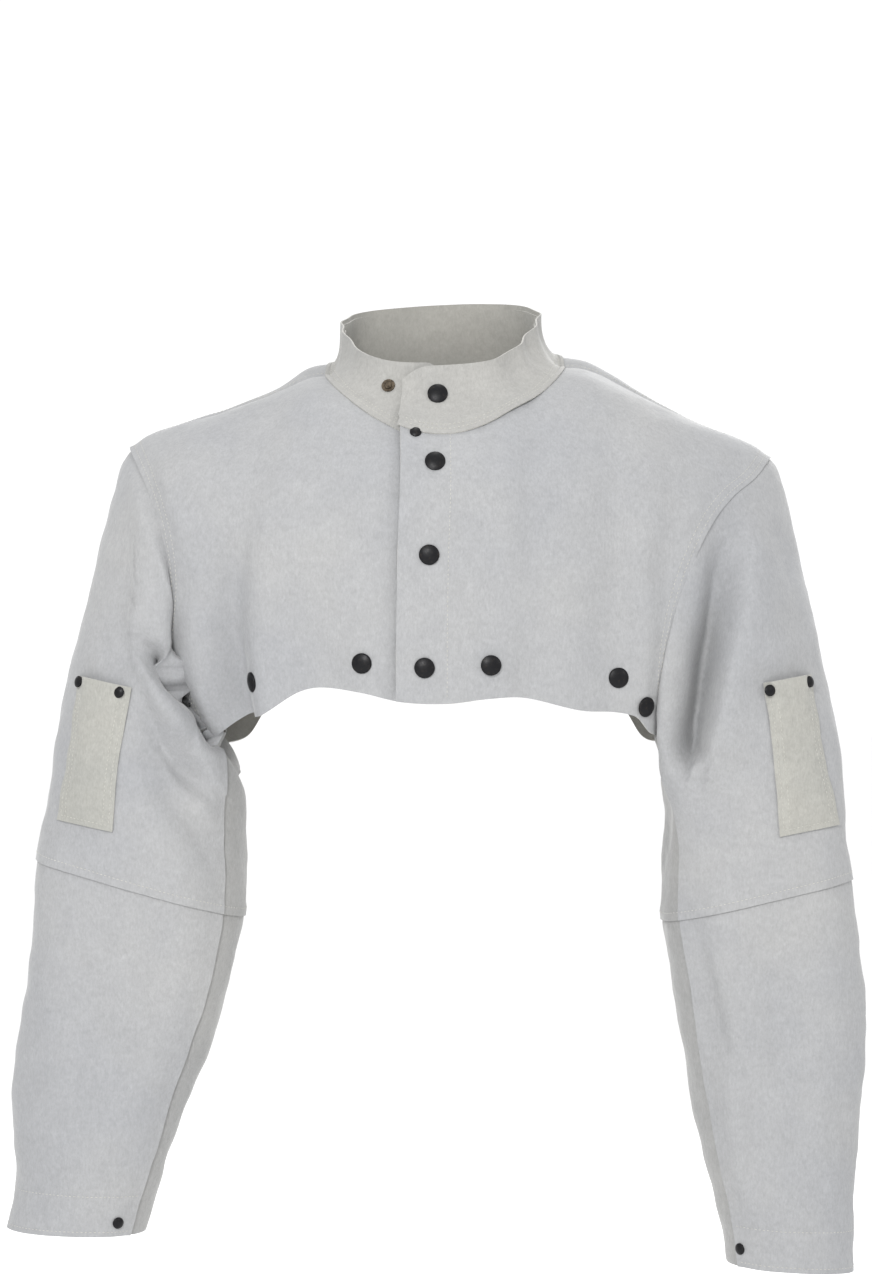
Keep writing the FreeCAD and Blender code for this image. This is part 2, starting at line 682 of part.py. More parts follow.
def pocket(side):
    """Patch pocket: sewn down at its sides and foot, standing open at the top."""
    top_out, top_in, low_in, low_out = [Vector(x, 0, z) for x, z in SLEEVES[side]["pocket"]]
    grid = []
    for i in range(POCKET_STEPS + 1):
        u = i / POCKET_STEPS
        line = []
        for j in range(POCKET_STEPS + 1):
            v = j / POCKET_STEPS
            top = top_out + (top_in - top_out) * u
            low = low_out + (low_in - low_out) * u
            flat = top + (low - top) * v
            s, theta = sleeve_front(side, flat.x, flat.z)
            belly = math.sin(math.pi * u) ** POCKET_FLAT_SIDES * math.cos(math.pi / 2 * v) ** 0.5
            lift = POCKET_LIFT + LEATHER + POCKET_BULGE * belly
            line.append(sleeve_point(side, s, theta) + sleeve_normal(side, s, theta) * lift)
        grid.append(line)
    middle = grid[POCKET_STEPS // 2][POCKET_STEPS // 2]
    return skin(grid, Vector(middle.x, middle.y + 60, middle.z), LEATHER)


# ---------------------------------------------------------------- fasteners

def turned(edges):
    wire = Part.Wire(Part.__sortEdges__(edges))
    return Part.Face(wire).revolve(Vector(0, 0, 0), Vector(0, 0, 1), 360)


def lines(points):
    vectors = [Vector(r, 0, h) for r, h in points]
    return [Part.makeLine(a, b) for a, b in zip(vectors, vectors[1:])]


def domed_head(radius, rim, crown, post_length):
    """Domed head standing on z = 0, with a post below it."""
    arc = Part.Arc(Vector(0, 0, crown), Vector(radius * 0.6, 0, rim + (crown - rim) * 0.7),
                   Vector(radius, 0, rim)).toShape()
    outline = [(radius, rim), (radius, 0), (POST_RADIUS, 0), (POST_RADIUS, -post_length),
               (0, -post_length), (0, crown)]
    return turned([arc] + lines(outline))


def ring(radius, bore, height):
    return turned(lines([(bore, 0), (radius, 0), (radius, height), (bore, height), (bore, 0)]))


def socket():
    """Snap socket: recess open downward, web above it with a hole for the cap's post."""
    outline = [(SOCKET_RECESS, 0), (SOCKET_RADIUS, 0), (SOCKET_RADIUS, SOCKET_HEIGHT),
               (POST_HOLE, SOCKET_HEIGHT), (POST_HOLE, SOCKET_RECESS_DEPTH),
               (SOCKET_RECESS, SOCKET_RECESS_DEPTH), (SOCKET_RECESS, 0)]
    return turned(lines(outline))


def stud():
    """Snap stud with its nub, flange and the post that passes through the leather."""
    top = NUB_TOP - STUD_LIFT
    outline = [(0, top), (NUB_RADIUS - 0.5, top), (NUB_RADIUS, top - 0.5), (NUB_RADIUS, STUD_FLANGE),
               (STUD_FLANGE_RADIUS, STUD_FLANGE), (STUD_FLANGE_RADIUS, 0), (POST_RADIUS, 0),
               (POST_RADIUS, -EYELET_DEPTH - 0.5), (0, -EYELET_DEPTH - 0.5), (0, top)]
    return turned(lines(outline))


def stood_on(shape, point, normal, height):
    """Fastener turned to stand along a normal, a height above a point."""
    moved = shape.copy()
    moved.Placement = FreeCAD.Placement(point + normal * height,
                                        FreeCAD.Rotation(Vector(0, 0, 1), normal))
    return moved


def hole(point, normal):
    length = 30
    return Part.makeCylinder(POST_HOLE, length, point - normal * (length / 2), normal)


def front_spot(x, z, lifted):
    """Point and outward normal of the front's outer face."""
    step = 0.5

    def surface(a, b):
        return Vector(a, front_y(a, b), b)

    du = surface(x + step, z) - surface(x - step, z)
    dv = surface(x, z + step) - surface(x, z - step)
    normal = du.cross(dv)
    normal.normalize()
    if normal.y > 0:
        normal = -normal
    return surface(x, z) + normal * (rise(x) if lifted else 0), normal


def collar_spot(x, z, lifted):
    """Point and outward normal of the collar's outer face, in front, seen at x, z."""
    alpha, share = math.asin(x / 80), 0.5
    out = collar_rise(alpha) if lifted else 0
    for _ in range(40):
        p = collar_point(alpha, share, out)
        alpha += (x - p.x) / 85
        share += (z - p.z) / 60
    step = 0.01
    du = collar_point(alpha + step, share, out) - collar_point(alpha - step, share, out)
    dv = collar_point(alpha, share + step, out) - collar_point(alpha, share - step, out)
    normal = du.cross(dv)
    normal.normalize()
    if normal.y > 0:
        normal = -normal
    return collar_point(alpha, share, out), normal


def fasteners(parts):
    """Adds every snap and rivet, and pierces the leather where each one passes."""
    def pierce(names, spots):
        for name in names:
            for point, normal in spots:
                parts[name] = biggest(parts[name].cut(hole(point, normal)))

    def group(name, shape, spots, height):
        parts[name] = Part.makeCompound([stood_on(shape, p, n, height) for p, n in spots])

    deep = LEATHER + 2 * LAYER_GAP + LINING
    cap = domed_head(CAP_RADIUS, CAP_RIM, CAP_CROWN, CAP_LIFT + deep + POST_SPARE)
    socket_drop = SOCKET_TOP - OVERLAP_RISE - SOCKET_HEIGHT

    over = [front_spot(x, z, True) for x, z in FRONT_SNAPS]
    below = [front_spot(x, z, False) for x, z in FRONT_SNAPS]
    group("front_snap_caps", cap, over, CAP_LIFT)
    group("front_snap_sockets", socket(), over, socket_drop)
    group("front_snap_studs", stud(), below, STUD_LIFT)
    group("front_snap_eyelets", ring(EYELET_RADIUS, POST_HOLE, EYELET_HEIGHT), below,
          -EYELET_DEPTH - EYELET_HEIGHT)
    pierce(["left_front_flap", "left_front_facing"], over)
    pierce(["right_front_panel", "right_front_facing"], below)

    point, normal = collar_spot(*COLLAR_SNAP, True)
    over = [(point, normal)]
    behind = point - normal * OVERLAP_RISE
    for _ in range(20):
        surface = collar_spot(behind.x, behind.z, False)[0]
        behind = point - normal * (point - surface).dot(normal)
    below = [(behind, normal), collar_spot(*COLLAR_SPARE_STUD, False)]
    group("collar_snap_cap", cap, over, CAP_LIFT + COLLAR_CURVE_LIFT)
    group("collar_snap_socket", socket(), over, socket_drop)
    group("collar_snap_studs", stud(), below, STUD_LIFT + COLLAR_CURVE_LIFT)
    group("collar_snap_eyelets", ring(EYELET_RADIUS, POST_HOLE, EYELET_HEIGHT), below,
          -EYELET_DEPTH - EYELET_HEIGHT)
    pierce(["collar_overlap_outer", "collar_overlap_lining"], over)
    pierce(["collar_outer", "collar_lining"], below)

    single = LEATHER + LAYER_GAP
    post = CAP_LIFT + single + HEM_SOCKET_GAP + POST_SPARE
    hem_cap = domed_head(CAP_RADIUS, CAP_RIM, CAP_CROWN, post)
    hem_drop = -single - HEM_SOCKET_GAP - SOCKET_HEIGHT
    on_flap = [front_spot(*FLAP_HEM_SNAP, True)]
    group("flap_hem_snap_cap", hem_cap, on_flap, CAP_LIFT)
    group("flap_hem_snap_socket", socket(), on_flap, hem_drop)
    pierce(["left_front_flap"], on_flap)
    on_body = [front_spot(x, z, False) for x, z in BODY_HEM_SNAPS + [CURL_HEM_SNAP]]
    group("hem_snap_caps", hem_cap, on_body, CAP_LIFT)
    group("hem_snap_sockets", socket(), on_body, hem_drop)
    pierce(["right_front_panel"], on_body[:2])
    pierce(["left_front_panel"], on_body[2:])

    rivet = domed_head(RIVET_RADIUS, RIVET_RIM, RIVET_CROWN, RIVET_LIFT + deep + BURR_HEIGHT)
    burr = ring(BURR_RADIUS, POST_HOLE, BURR_HEIGHT)
    corner = [front_spot(*PLACKET_RIVET, True)]
    group("placket_rivet", rivet, corner, RIVET_LIFT)
    group("placket_rivet_burr", burr, corner, -deep - LAYER_GAP - BURR_HEIGHT)
    pierce(["left_front_flap", "left_front_facing"], corner)
    return on_body + on_flap


def sleeve_parts(side, parts):
    def name(text):
        return side + "_" + text

    outer = (FRONT_INSEAM, BACK_INSEAM)
    under = (BACK_INSEAM + INSEAM_GAP_ANGLE, 2 * math.pi + FRONT_INSEAM - INSEAM_GAP_ANGLE)
    upper_s = (ARMHOLE_GAP_SHARE, ELBOW_SEAM - PART_GAP_SHARE)
    underarm_s = (UNDERARM_GAP_SHARE, ELBOW_SEAM - PART_GAP_SHARE)
    fold_s = (ELBOW_SEAM + PART_GAP_SHARE, ELBOW_FOLD_END - PART_GAP_SHARE)
    lower_s = (ELBOW_FOLD_END + PART_GAP_SHARE, 1.0)
    parts[name("upper_sleeve_outer")] = sleeve_patch(side, upper_s, outer, rows=12, columns=21)
    parts[name("upper_sleeve_under")] = sleeve_patch(side, underarm_s, under, rows=12)
    parts[name("elbow_fold_outer")] = sleeve_patch(side, fold_s, outer)
    parts[name("elbow_fold_under")] = sleeve_patch(side, fold_s, under)
    parts[name("lower_sleeve_outer")] = sleeve_patch(side, lower_s, outer)
    parts[name("lower_sleeve_under")] = sleeve_patch(side, lower_s, under)
    band = (FRONT_INSEAM + CUFF_BAND_GAP_ANGLE, FRONT_INSEAM + 2 * math.pi - CUFF_BAND_GAP_ANGLE)
    parts[name("cuff_facing")] = sleeve_patch(side, (CUFF_BAND_START, CUFF_FACING_END), band,
                                              LEATHER + CUFF_FACING_GAP, LINING, 4, 24)
    parts[name("sleeve_pocket")] = pocket(side)

    def spot(x, z):
        s, theta = sleeve_front(side, x, z)
        return sleeve_point(side, s, theta), sleeve_normal(side, s, theta)

    corners = [spot(x, z) for x, z in SLEEVES[side]["pocket_rivets"]]
    layers = POCKET_LIFT + 2 * LEATHER
    stack = LEATHER + POCKET_LIFT + POCKET_RIVET_LIFT
    rivet = domed_head(RIVET_RADIUS, RIVET_RIM, RIVET_CROWN, stack + layers)
    burr = ring(BURR_RADIUS, POST_HOLE, BURR_HEIGHT)
    sunk = -LEATHER - POCKET_BURR_GAP - BURR_HEIGHT
    heads = [stood_on(rivet, p, n, stack) for p, n in corners]
    burrs = [stood_on(burr, p, n, sunk) for p, n in corners]
    parts[name("pocket_rivets")] = Part.makeCompound(heads)
    parts[name("pocket_rivet_burrs")] = Part.makeCompound(burrs)
    for point, normal in corners:
        for target in ("sleeve_pocket", "upper_sleeve_outer"):
            parts[name(target)] = biggest(parts[name(target)].cut(hole(point, normal)))

    cuff = spot(*SLEEVES[side]["cuff_rivet"])
    through = LEATHER + CUFF_FACING_GAP + LINING + CUFF_BURR_GAP
    rivet = domed_head(RIVET_RADIUS, RIVET_RIM, RIVET_CROWN, RIVET_LIFT + through + BURR_HEIGHT)
    parts[name("cuff_rivet")] = stood_on(rivet, *cuff, RIVET_LIFT)
    parts[name("cuff_rivet_burr")] = stood_on(burr, *cuff, -through - BURR_HEIGHT)
    for target in ("lower_sleeve_outer", "cuff_facing"):
        parts[name(target)] = biggest(parts[name(target)].cut(hole(*cuff)))


def main():
    parts = body_panels()
    parts.update(collar_parts())
    sockets = fasteners(parts)
    for side in SLEEVES:
        sleeve_parts(side, parts)
    os.makedirs("parts", exist_ok=True)
    for name, shape in parts.items():
        shape.exportStep("parts/" + name + ".step")
        print(name, "valid", shape.isValid(), "solids", len(shape.Solids), "volume", round(shape.Volume))
    for point, normal in sockets:
        print("hem socket", [round(v, 3) for v in point], [round(v, 5) for v in normal])


main()
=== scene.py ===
import math

import bmesh
import bpy
import numpy as np
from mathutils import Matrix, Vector


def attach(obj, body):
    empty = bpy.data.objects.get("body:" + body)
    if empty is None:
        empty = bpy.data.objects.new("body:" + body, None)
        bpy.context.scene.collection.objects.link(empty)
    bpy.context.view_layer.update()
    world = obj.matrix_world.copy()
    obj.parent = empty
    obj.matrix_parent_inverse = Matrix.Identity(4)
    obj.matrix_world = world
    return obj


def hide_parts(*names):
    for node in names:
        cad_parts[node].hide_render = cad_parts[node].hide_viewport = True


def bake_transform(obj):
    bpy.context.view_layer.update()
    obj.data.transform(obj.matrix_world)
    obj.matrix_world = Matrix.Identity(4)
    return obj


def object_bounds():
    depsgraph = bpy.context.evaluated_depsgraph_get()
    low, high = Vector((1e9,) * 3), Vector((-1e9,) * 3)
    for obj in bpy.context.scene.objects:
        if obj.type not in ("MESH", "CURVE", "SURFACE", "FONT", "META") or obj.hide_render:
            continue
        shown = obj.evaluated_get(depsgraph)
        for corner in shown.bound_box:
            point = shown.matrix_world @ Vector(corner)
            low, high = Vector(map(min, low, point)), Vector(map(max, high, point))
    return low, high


# Leather welding jacket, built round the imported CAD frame. Lengths here are millimetres, in the
# frame's own axes, and turn into metres where a mesh is made: +Z up, front -Y, wearer's left +X.
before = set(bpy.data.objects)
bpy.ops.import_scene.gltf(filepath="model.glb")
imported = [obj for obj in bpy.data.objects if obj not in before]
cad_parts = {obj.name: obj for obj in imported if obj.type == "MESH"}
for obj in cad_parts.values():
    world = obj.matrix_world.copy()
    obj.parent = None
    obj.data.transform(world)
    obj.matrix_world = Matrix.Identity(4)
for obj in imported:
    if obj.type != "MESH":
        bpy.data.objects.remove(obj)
cad_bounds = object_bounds()

MM = 0.001
STEP = 3.6
SEED = 7

# Leather layers, as in the CAD model
LEATHER = 1.4
LINING = 1.1
LAYER_GAP = 0.15
OVERLAP_RISE = 6.2

# Form of the body: front and back half domes that meet along the shoulder line
SHOULDER_LINE = [(-300, -78), (-253, -57.5), (-211, -40.5), (-145, -18.5), (-94, -1), (0, -8),
                 (97, 5), (162, -20), (232, -49), (262, -65.5), (300, -84)]
CHEST_DEPTH = 122
FRONT_DROP = 120
FRONT_ARC = 190
BACK_DEPTH = 105
BACK_DROP = 90
BACK_ARC = 140
BACK_LEDGE_DEPTH = 62
BACK_LEDGE_RISE = 22
BACK_LEDGE_SPREAD = 120
SIDE_HALF_WIDTH_HIGH = 300
SIDE_HALF_WIDTH_LOW = 188
SIDE_HIGH_Z = -58
UNDERARM_Z = -300

# Neck seam and stand-up collar
NECK = (93.5, 88, 78)  # half width, front, back
NECK_SQUARENESS = 2.5
COLLAR_TOP = (77.5, 70, 66)
COLLAR_TOP_SHIFT = -3.5
COLLAR_TOP_Z = 35
COLLAR_TOP_RISE_BACK = 0.42
COLLAR_TOP_RISE_LEFT = 0.045
COLLAR_FLARE = 2.2
COLLAR_LEATHER = 1.3
COLLAR_RISE_SHARE = 1.22
UNDER_COLLAR_END = 0.26
COLLAR_SPLIT = 1.5
COLLAR_SIDE_RISE = 9
COLLAR_LIFT_SHARE = 0.86
COLLAR_LIFT_SLOPE = 0.55
COLLAR_RADIUS = 85
COLLAR_WIDTH = 44
COLLAR_CORNER_REACH = 26
COLLAR_CORNER_DROP = 11
# The collar's seam edge lies on the body as a narrow skirt, wider in front
SKIRT = 3.5
SKIRT_FRONT = 7.5
SKIRT_LIFT = 1.6
SKIRT_ROWS = 5
# Folds in the collar: angle from the front centre, share of the height, width, depth
COLLAR_FOLDS = [(1.12, 0.75, 0.16, -4.2), (0.94, 0.8, 0.12, 2.2), (1.33, 0.8, 0.12, 2.5),
                (-1.2, 0.7, 0.14, -2.4), (-1.42, 0.8, 0.12, 2.4), (2.6, 0.7, 0.3, -1.8),
                (3.6, 0.6, 0.3, -1.6), (4.2, 0.7, 0.2, 1.8), (-1.68, 0.9, 0.11, 4.5),
                (1.66, 0.9, 0.11, 4.5)]

# Front edges, facings and hem
FLAP_EDGE = [(-24, 2), (-31, -6), (-37, -18), (-36, -45), (-35, -85), (-37, -160), (-38, -290)]
UNDER_LAYER_EDGE_X = 22
RISE_FULL_X = 44
RISE_END_X = 74
FACING_WIDTH = 42
HEM = [(-190, -297), (-169, -283), (-142, -273), (-117, -257), (-98, -253), (-66, -256.5),
       (-35, -263.5), (0, -265), (32, -261.5), (61, -260.5), (104, -270), (147, -274),
       (160, -287), (188, -297)]
BACK_HEM = [(-188, -300), (-166, -297), (-150, -272), (-118, -255), (0, -250), (118, -255),
            (150, -272), (166, -297), (188, -300)]
SPLIT_X = 118
ARMPIT_X = 187.6
ARMPIT_Z = -299.0
FRONT_FASTENERS = [(-8, -78.5), (-12.5, -149), (-16, -237), (-23.5, -56), (35, -235)]
FASTENER_FLAT = 30
SEAM_LAP = 2.6
UNDER_LAYER_DROP = 0.8

# Grids of the body panels: lengths that set their rows and columns, and points along their edges
PANEL_LENGTH = 300
PANEL_INNER_WIDTH = 140
PANEL_OUTER_WIDTH = 150
EDGE_POINTS = 60
NECK_POINTS = 120
SEAM_POINTS = 80

# Sleeves. Outer and inner lines run (share of length, x, z) from the armhole to the cuff.
SLEEVES = {
    "right": {
        "out": -1,
        "outer": [(0, -253.5, -58.5), (0.05, -264, -88), (0.14, -280, -146), (0.25, -300, -221),
                  (0.34, -310, -272), (0.45, -324, -352), (0.5, -330.5, -388), (0.6, -332.5, -452),
                  (0.72, -342, -522), (0.84, -347, -600), (0.93, -346, -650), (1, -351, -689)],
        "inner": [(0, -188, -300), (0.15, -165, -330), (0.3, -163.5, -370), (0.5, -164, -436),
                  (0.6, -174, -485), (0.7, -189, -540), (0.8, -211, -594), (0.9, -229, -648),
                  (1, -243.5, -692)],
        "front_seam": [(0, -253.5, -58.5), (0.12, -239, -86), (0.25, -228, -114),
                       (0.38, -220.5, -145), (0.5, -217.5, -178), (0.64, -220, -215),
                       (0.75, -220, -238), (0.88, -203, -266), (1, -188, -300)],
        "pocket": [(-292, -244), (-248, -253), (-264, -367.5), (-309, -359)],
        "rivets": [(-288.5, -249.5), (-256.5, -257), (-261, -680)],
    },
    "left": {
        "out": 1,
        "outer": [(0, 262, -66), (0.08, 274, -94), (0.17, 288, -151), (0.27, 302, -217),
                  (0.37, 315.5, -282), (0.45, 325, -352), (0.5, 329.5, -403), (0.6, 334, -462),
                  (0.72, 339, -525), (0.84, 336.5, -594), (0.93, 334, -655), (1, 332.5, -722)],
        "inner": [(0, 188, -300), (0.12, 178, -326), (0.25, 182, -365), (0.38, 179.5, -405),
                  (0.5, 176.5, -440), (0.6, 182.5, -490), (0.7, 194, -555), (0.82, 208, -627),
                  (0.92, 221, -680), (1, 226.5, -716)],
        "front_seam": [(0, 262, -66), (0.1, 246.5, -85), (0.2, 227, -101), (0.32, 208, -125),
                       (0.45, 191, -161), (0.6, 178.5, -200), (0.74, 171, -240),
                       (0.88, 172, -276), (1, 188, -300)],
        "pocket": [(291, -243), (251, -249.5), (266, -371.5), (313, -363)],
        "rivets": [(286.5, -249.5), (254.5, -255.5), (236, -702)],
    },
}
HALF_DEPTH = [(0, 78), (0.25, 76), (0.5, 64), (0.75, 56), (1, 49)]
DEPTH_CENTRE = [(0, 0), (0.25, -1), (0.5, -4), (0.75, -8), (1, -14)]
SLEEVE_SQUARENESS = 2.4
SLEEVE_LENGTH = 640
SLEEVE_RADIUS = 68
BACK_SEAM_BOW = 13.2
ARMHOLE_SHARE = 0.45
ELBOW_SEAM = 0.5
FRONT_INSEAM = -(math.pi - 0.65)
BACK_INSEAM = math.pi - 1.1
# Parts of a sleeve by share of its length, and its panels by angle
SLEEVE_PARTS = {"upper": (0.0, ELBOW_SEAM + 0.006), "lower": (ELBOW_SEAM - 0.012, 1.0)}
SLEEVE_PANELS = {"outer": (FRONT_INSEAM, BACK_INSEAM),
                 "under": (BACK_INSEAM - 0.05, 2 * math.pi + FRONT_INSEAM + 0.05)}
ELBOW_LAP = 1.7
ELBOW_LAP_SHARE = 0.03
ARMHOLE_TUCK = 1.5
ARMHOLE_TUCK_SHARE = 0.012
INSEAM_LAP = 1.3
INSEAM_TUCK = 1.7
INSEAM_REACH = 0.09
CUFF_BAND_START = 0.945
CUFF_BAND_END = 0.998
CUFF_FACING_GAP = 0.6
POCKET_COLUMNS = 26
POCKET_ROWS = 60
POCKET_LIFT = 0.4
POCKET_MOUTH = 3.4
POCKET_BELLY = 2.0

# Where the leather bends: direction across the bend, and the distances where it starts and ends
FLAP_BEND = (Vector((0.87, 0.48, -0.105)), 74, 6)
SHOULDER_BEND = (Vector((0.85, 0, -0.527)), 243, 350)
ELBOW_BEND_LENGTH = 115

# Thread
STITCH_PITCH = 3.5
STITCH_LENGTH = 2.3
STITCH_WIDTH = 0.5
STITCH_SINK = 0.32
STITCH_LIFT = 0.12
STITCH_UNEVEN = 0.03
STITCH_SKEW = 0.05
# Distances of the stitch rows from the edge of the leather
STITCH_ROWS = (4.5, 10.0)
SHOULDER_STITCH_ROW = 4.5
COLLAR_STITCH_ROWS = (5.0, 9.5)
ELBOW_STITCH_ROW = 6.5
CUFF_STITCH_ROWS = (4.0, 33.0)
POCKET_SIDE_STITCH_ROWS = (3.6, 8.6)
POCKET_LOW_STITCH_ROW = 4.5

# Camera and lights, in metres; lights are rows of (name, place, size, power in watts)
CAMERA_PLACE = (-0.0073, -3.0, -0.2153)
CAMERA_LENS = 103.85
LIGHT_TARGET = (0, 0, -0.3)
LIGHTS = [("key", (-0.7, -2.9, 0.9), 0.8, 68), ("fill", (2.4, -1.8, 0.9), 1.2, 12),
          ("top", (0.1, 0.2, 2.6), 1.0, 16), ("behind", (1.1, 2.6, 1.1), 1.2, 46)]
EXPOSURE = 0.12
FLOOR_SIZE = 30
FLOOR_DROP = 0.35


# ---------------------------------------------------------------- plain curves

def along(points, t):
    """Smooth curve through rows of (parameter, value, ...), read at every parameter in t."""
    rows = np.array(points, float)
    last = len(rows) - 1
    t = np.clip(np.asarray(t, float), rows[0, 0], rows[-1, 0])
    k = np.clip(np.searchsorted(rows[:, 0], t, side="right") - 1, 0, last - 1)
    low = np.maximum(np.arange(last + 1) - 1, 0)
    high = np.minimum(np.arange(last + 1) + 1, last)
    slopes = (rows[high, 1:] - rows[low, 1:]) / (rows[high, :1] - rows[low, :1])
    span = rows[k + 1, 0] - rows[k, 0]
    u = ((t - rows[k, 0]) / span)[..., None]
    span = span[..., None]
    values = (2 * u**3 - 3 * u**2 + 1) * rows[k, 1:]
    values += (u**3 - 2 * u**2 + u) * slopes[k] * span
    values += (-2 * u**3 + 3 * u**2) * rows[k + 1, 1:]
    values += (u**3 - u**2) * slopes[k + 1] * span
    return values


def smooth(t):
    t = np.clip(t, 0, 1)
    return t * t * (3 - 2 * t)


def unit(v):
    return v / np.maximum(np.linalg.norm(v, axis=-1, keepdims=True), 1e-9)


def distances(points):
    """How far each row of points is along the line that they make."""
    steps = np.linalg.norm(np.diff(points, axis=0), axis=1)
    return np.concatenate([[0], np.cumsum(steps)])


def read_at(wanted, lengths, rows):
    """Rows read at wanted distances along a line, or one row at one distance."""
    return np.stack([np.interp(wanted, lengths, rows[:, c]) for c in range(rows.shape[1])], -1)


def waves(p, size, seed, count=18):
    """Smooth random field of about unit strength whose bumps are about a size across."""
    random = np.random.default_rng(SEED * 1000 + seed)
    directions = unit(random.normal(size=(count, 3)))
    turns = random.uniform(0.7, 1.4, count) * math.pi / size
    starts = random.uniform(0, 2 * math.pi, count)
    field = np.zeros(p.shape[:-1])
    for direction, turn, start in zip(directions, turns, starts):
        field += np.sin(p @ direction * turn + start)
    return field / math.sqrt(count / 2)


def uneven(p, rows):
    """Random unevenness from rows of (height, size of the bumps, seed)."""
    return sum(height * waves(p, size, seed) for height, size, seed in rows)


# ---------------------------------------------------------------- form of the body

def shoulder_z(x):
    return along(SHOULDER_LINE, x)[..., 0]


def side_x(z):
    share = (z - SIDE_HIGH_Z) / (UNDERARM_Z - SIDE_HIGH_Z)
    return SIDE_HALF_WIDTH_LOW + (SIDE_HALF_WIDTH_HIGH - SIDE_HALF_WIDTH_LOW) * (1 - share**2)


def roundness(x, z):
    return np.sqrt(np.maximum(1 - (x / side_x(z)) ** 2, 0))


def ledge(x):
    """Depth and height of the nearly level strip behind the shoulder line."""
    spread = np.exp(-((x / BACK_LEDGE_SPREAD) ** 2))
    return BACK_LEDGE_DEPTH * spread, shoulder_z(x) + BACK_LEDGE_RISE * spread


def front_y(x, z):
    cosine = np.clip(1 - np.maximum(shoulder_z(x) - z, 0) / FRONT_DROP, 0, 1)
    return -CHEST_DEPTH * np.sqrt(1 - cosine**2) * roundness(x, z)


def back_y(x, z):
    depth, top = ledge(x)
    cosine = np.clip(1 - np.maximum(top - z, 0) / BACK_DROP, 0, 1)
    return (depth + (BACK_DEPTH - depth) * np.sqrt(1 - cosine**2)) * roundness(x, z)


def body_point(place, front):
    """Point of the body's form: place is (angle round the body, distance down from the shoulder)."""
    psi, down = place[..., 0], place[..., 1]
    x = (SIDE_HALF_WIDTH_LOW + 12) * np.sin(psi)
    for _ in range(14):
        top = shoulder_z(x)
        if front:
            phi = np.clip(down / FRONT_ARC, 0, 1) * math.pi / 2
            z = top - FRONT_DROP * (1 - np.cos(phi)) - np.maximum(down - FRONT_ARC, 0)
            y = -CHEST_DEPTH * np.sin(phi)
        else:
            depth, high = ledge(x)
            level = np.clip(down / (depth + 1), 0, 1)
            phi = np.clip((down - depth - 1) / BACK_ARC, 0, 1) * math.pi / 2
            z = high - (high - top) * (1 - level) ** 2 - BACK_DROP * (1 - np.cos(phi))
            z = z - np.maximum(down - depth - 1 - BACK_ARC, 0)
            y = depth * level + (BACK_DEPTH - depth) * np.sin(phi)
        x = side_x(z) * np.sin(psi)
    return np.stack([x, y * np.cos(psi), z], -1)


def body_place(x, z, front):
    """Place on the body's form of a point seen at x, z."""
    psi = np.arcsin(np.clip(x / side_x(z), -1, 1))
    if front:
        top = shoulder_z(x)
        cosine = np.clip(1 - (top - z) / FRONT_DROP, 0, 1)
        down = np.arccos(cosine) / (math.pi / 2) * FRONT_ARC + np.maximum(top - FRONT_DROP - z, 0)
    else:
        depth, top = ledge(x)
        cosine = np.clip(1 - (top - z) / BACK_DROP, 0, 1)
        down = depth + 1 + np.arccos(cosine) / (math.pi / 2) * BACK_ARC
        down = down + np.maximum(top - BACK_DROP - z, 0)
    return np.stack([psi, down], -1)


def superellipse(alpha, half_width, front, back):
    depth = np.where(np.cos(alpha) > 0, front, back)
    across = np.abs(np.sin(alpha)) / half_width
    ahead = np.abs(np.cos(alpha)) / depth
    return (across**NECK_SQUARENESS + ahead**NECK_SQUARENESS) ** (-1 / NECK_SQUARENESS)


def neck_place(alpha, front, out=0):
    """Place on the body's form of the neck seam, at an angle from the front centre."""
    radius = superellipse(alpha, *NECK) + out
    x = radius * np.sin(alpha)
    y = -radius * np.cos(alpha)
    z = shoulder_z(x)
    for _ in range(8):
        if front:
            sine = np.clip(-y / (CHEST_DEPTH * roundness(x, z)), 0, 1)
            down = np.arcsin(sine) / (math.pi / 2) * FRONT_ARC
            z = shoulder_z(x) - FRONT_DROP * (1 - np.sqrt(1 - sine**2))
        else:
            depth, top = ledge(x)
            level = y / roundness(x, z)
            sine = np.clip((level - depth) / (BACK_DEPTH - depth), 0, 1)
            on_ledge = np.clip(level / depth, 0, 1)
            down = on_ledge * (depth + 1) + np.arcsin(sine) / (math.pi / 2) * BACK_ARC
            z = top - (top - shoulder_z(x)) * (1 - on_ledge) ** 2
            z = z - BACK_DROP * (1 - np.sqrt(1 - sine**2))
    return np.stack([np.arcsin(np.clip(x / side_x(z), -1, 1)), down], -1)


def rise(x):
    """How far the overlapping front stands off the body's form."""
    return OVERLAP_RISE * smooth((RISE_END_X - x) / (RISE_END_X - RISE_FULL_X))


# ---------------------------------------------------------------- folds in the leather

def fold(p, path, height, left, right):
    """Height of one soft fold that follows a path of (x, z, share of height) rows.

    left and right are its widths on the two sides of the path."""
    rows = [(i / (len(path) - 1), *row) for i, row in enumerate(path)]
    line = along(rows, np.linspace(0, 1, 40))
    ahead = unit(np.gradient(line[:, :2], axis=0))
    result = np.zeros(p.shape[:-1])
    for (x, z, share), (tx, tz) in zip(line, ahead):
        dx, dz = p[..., 0] - x, p[..., 2] - z
        width = np.where(tx * dz - tz * dx > 0, left, right)
        result = np.maximum(result, share * np.exp(-(dx**2 + dz**2) / (2 * width**2)))
    return result * height


def near(p, curve, reach):
    """1 away from a curve of x, z points, falling to 0 on it."""
    nearest = np.full(p.shape[:-1], 1e9)
    for x, z in curve:
        nearest = np.minimum(nearest, (p[..., 0] - x) ** 2 + (p[..., 2] - z) ** 2)
    return smooth(np.sqrt(nearest) / reach)


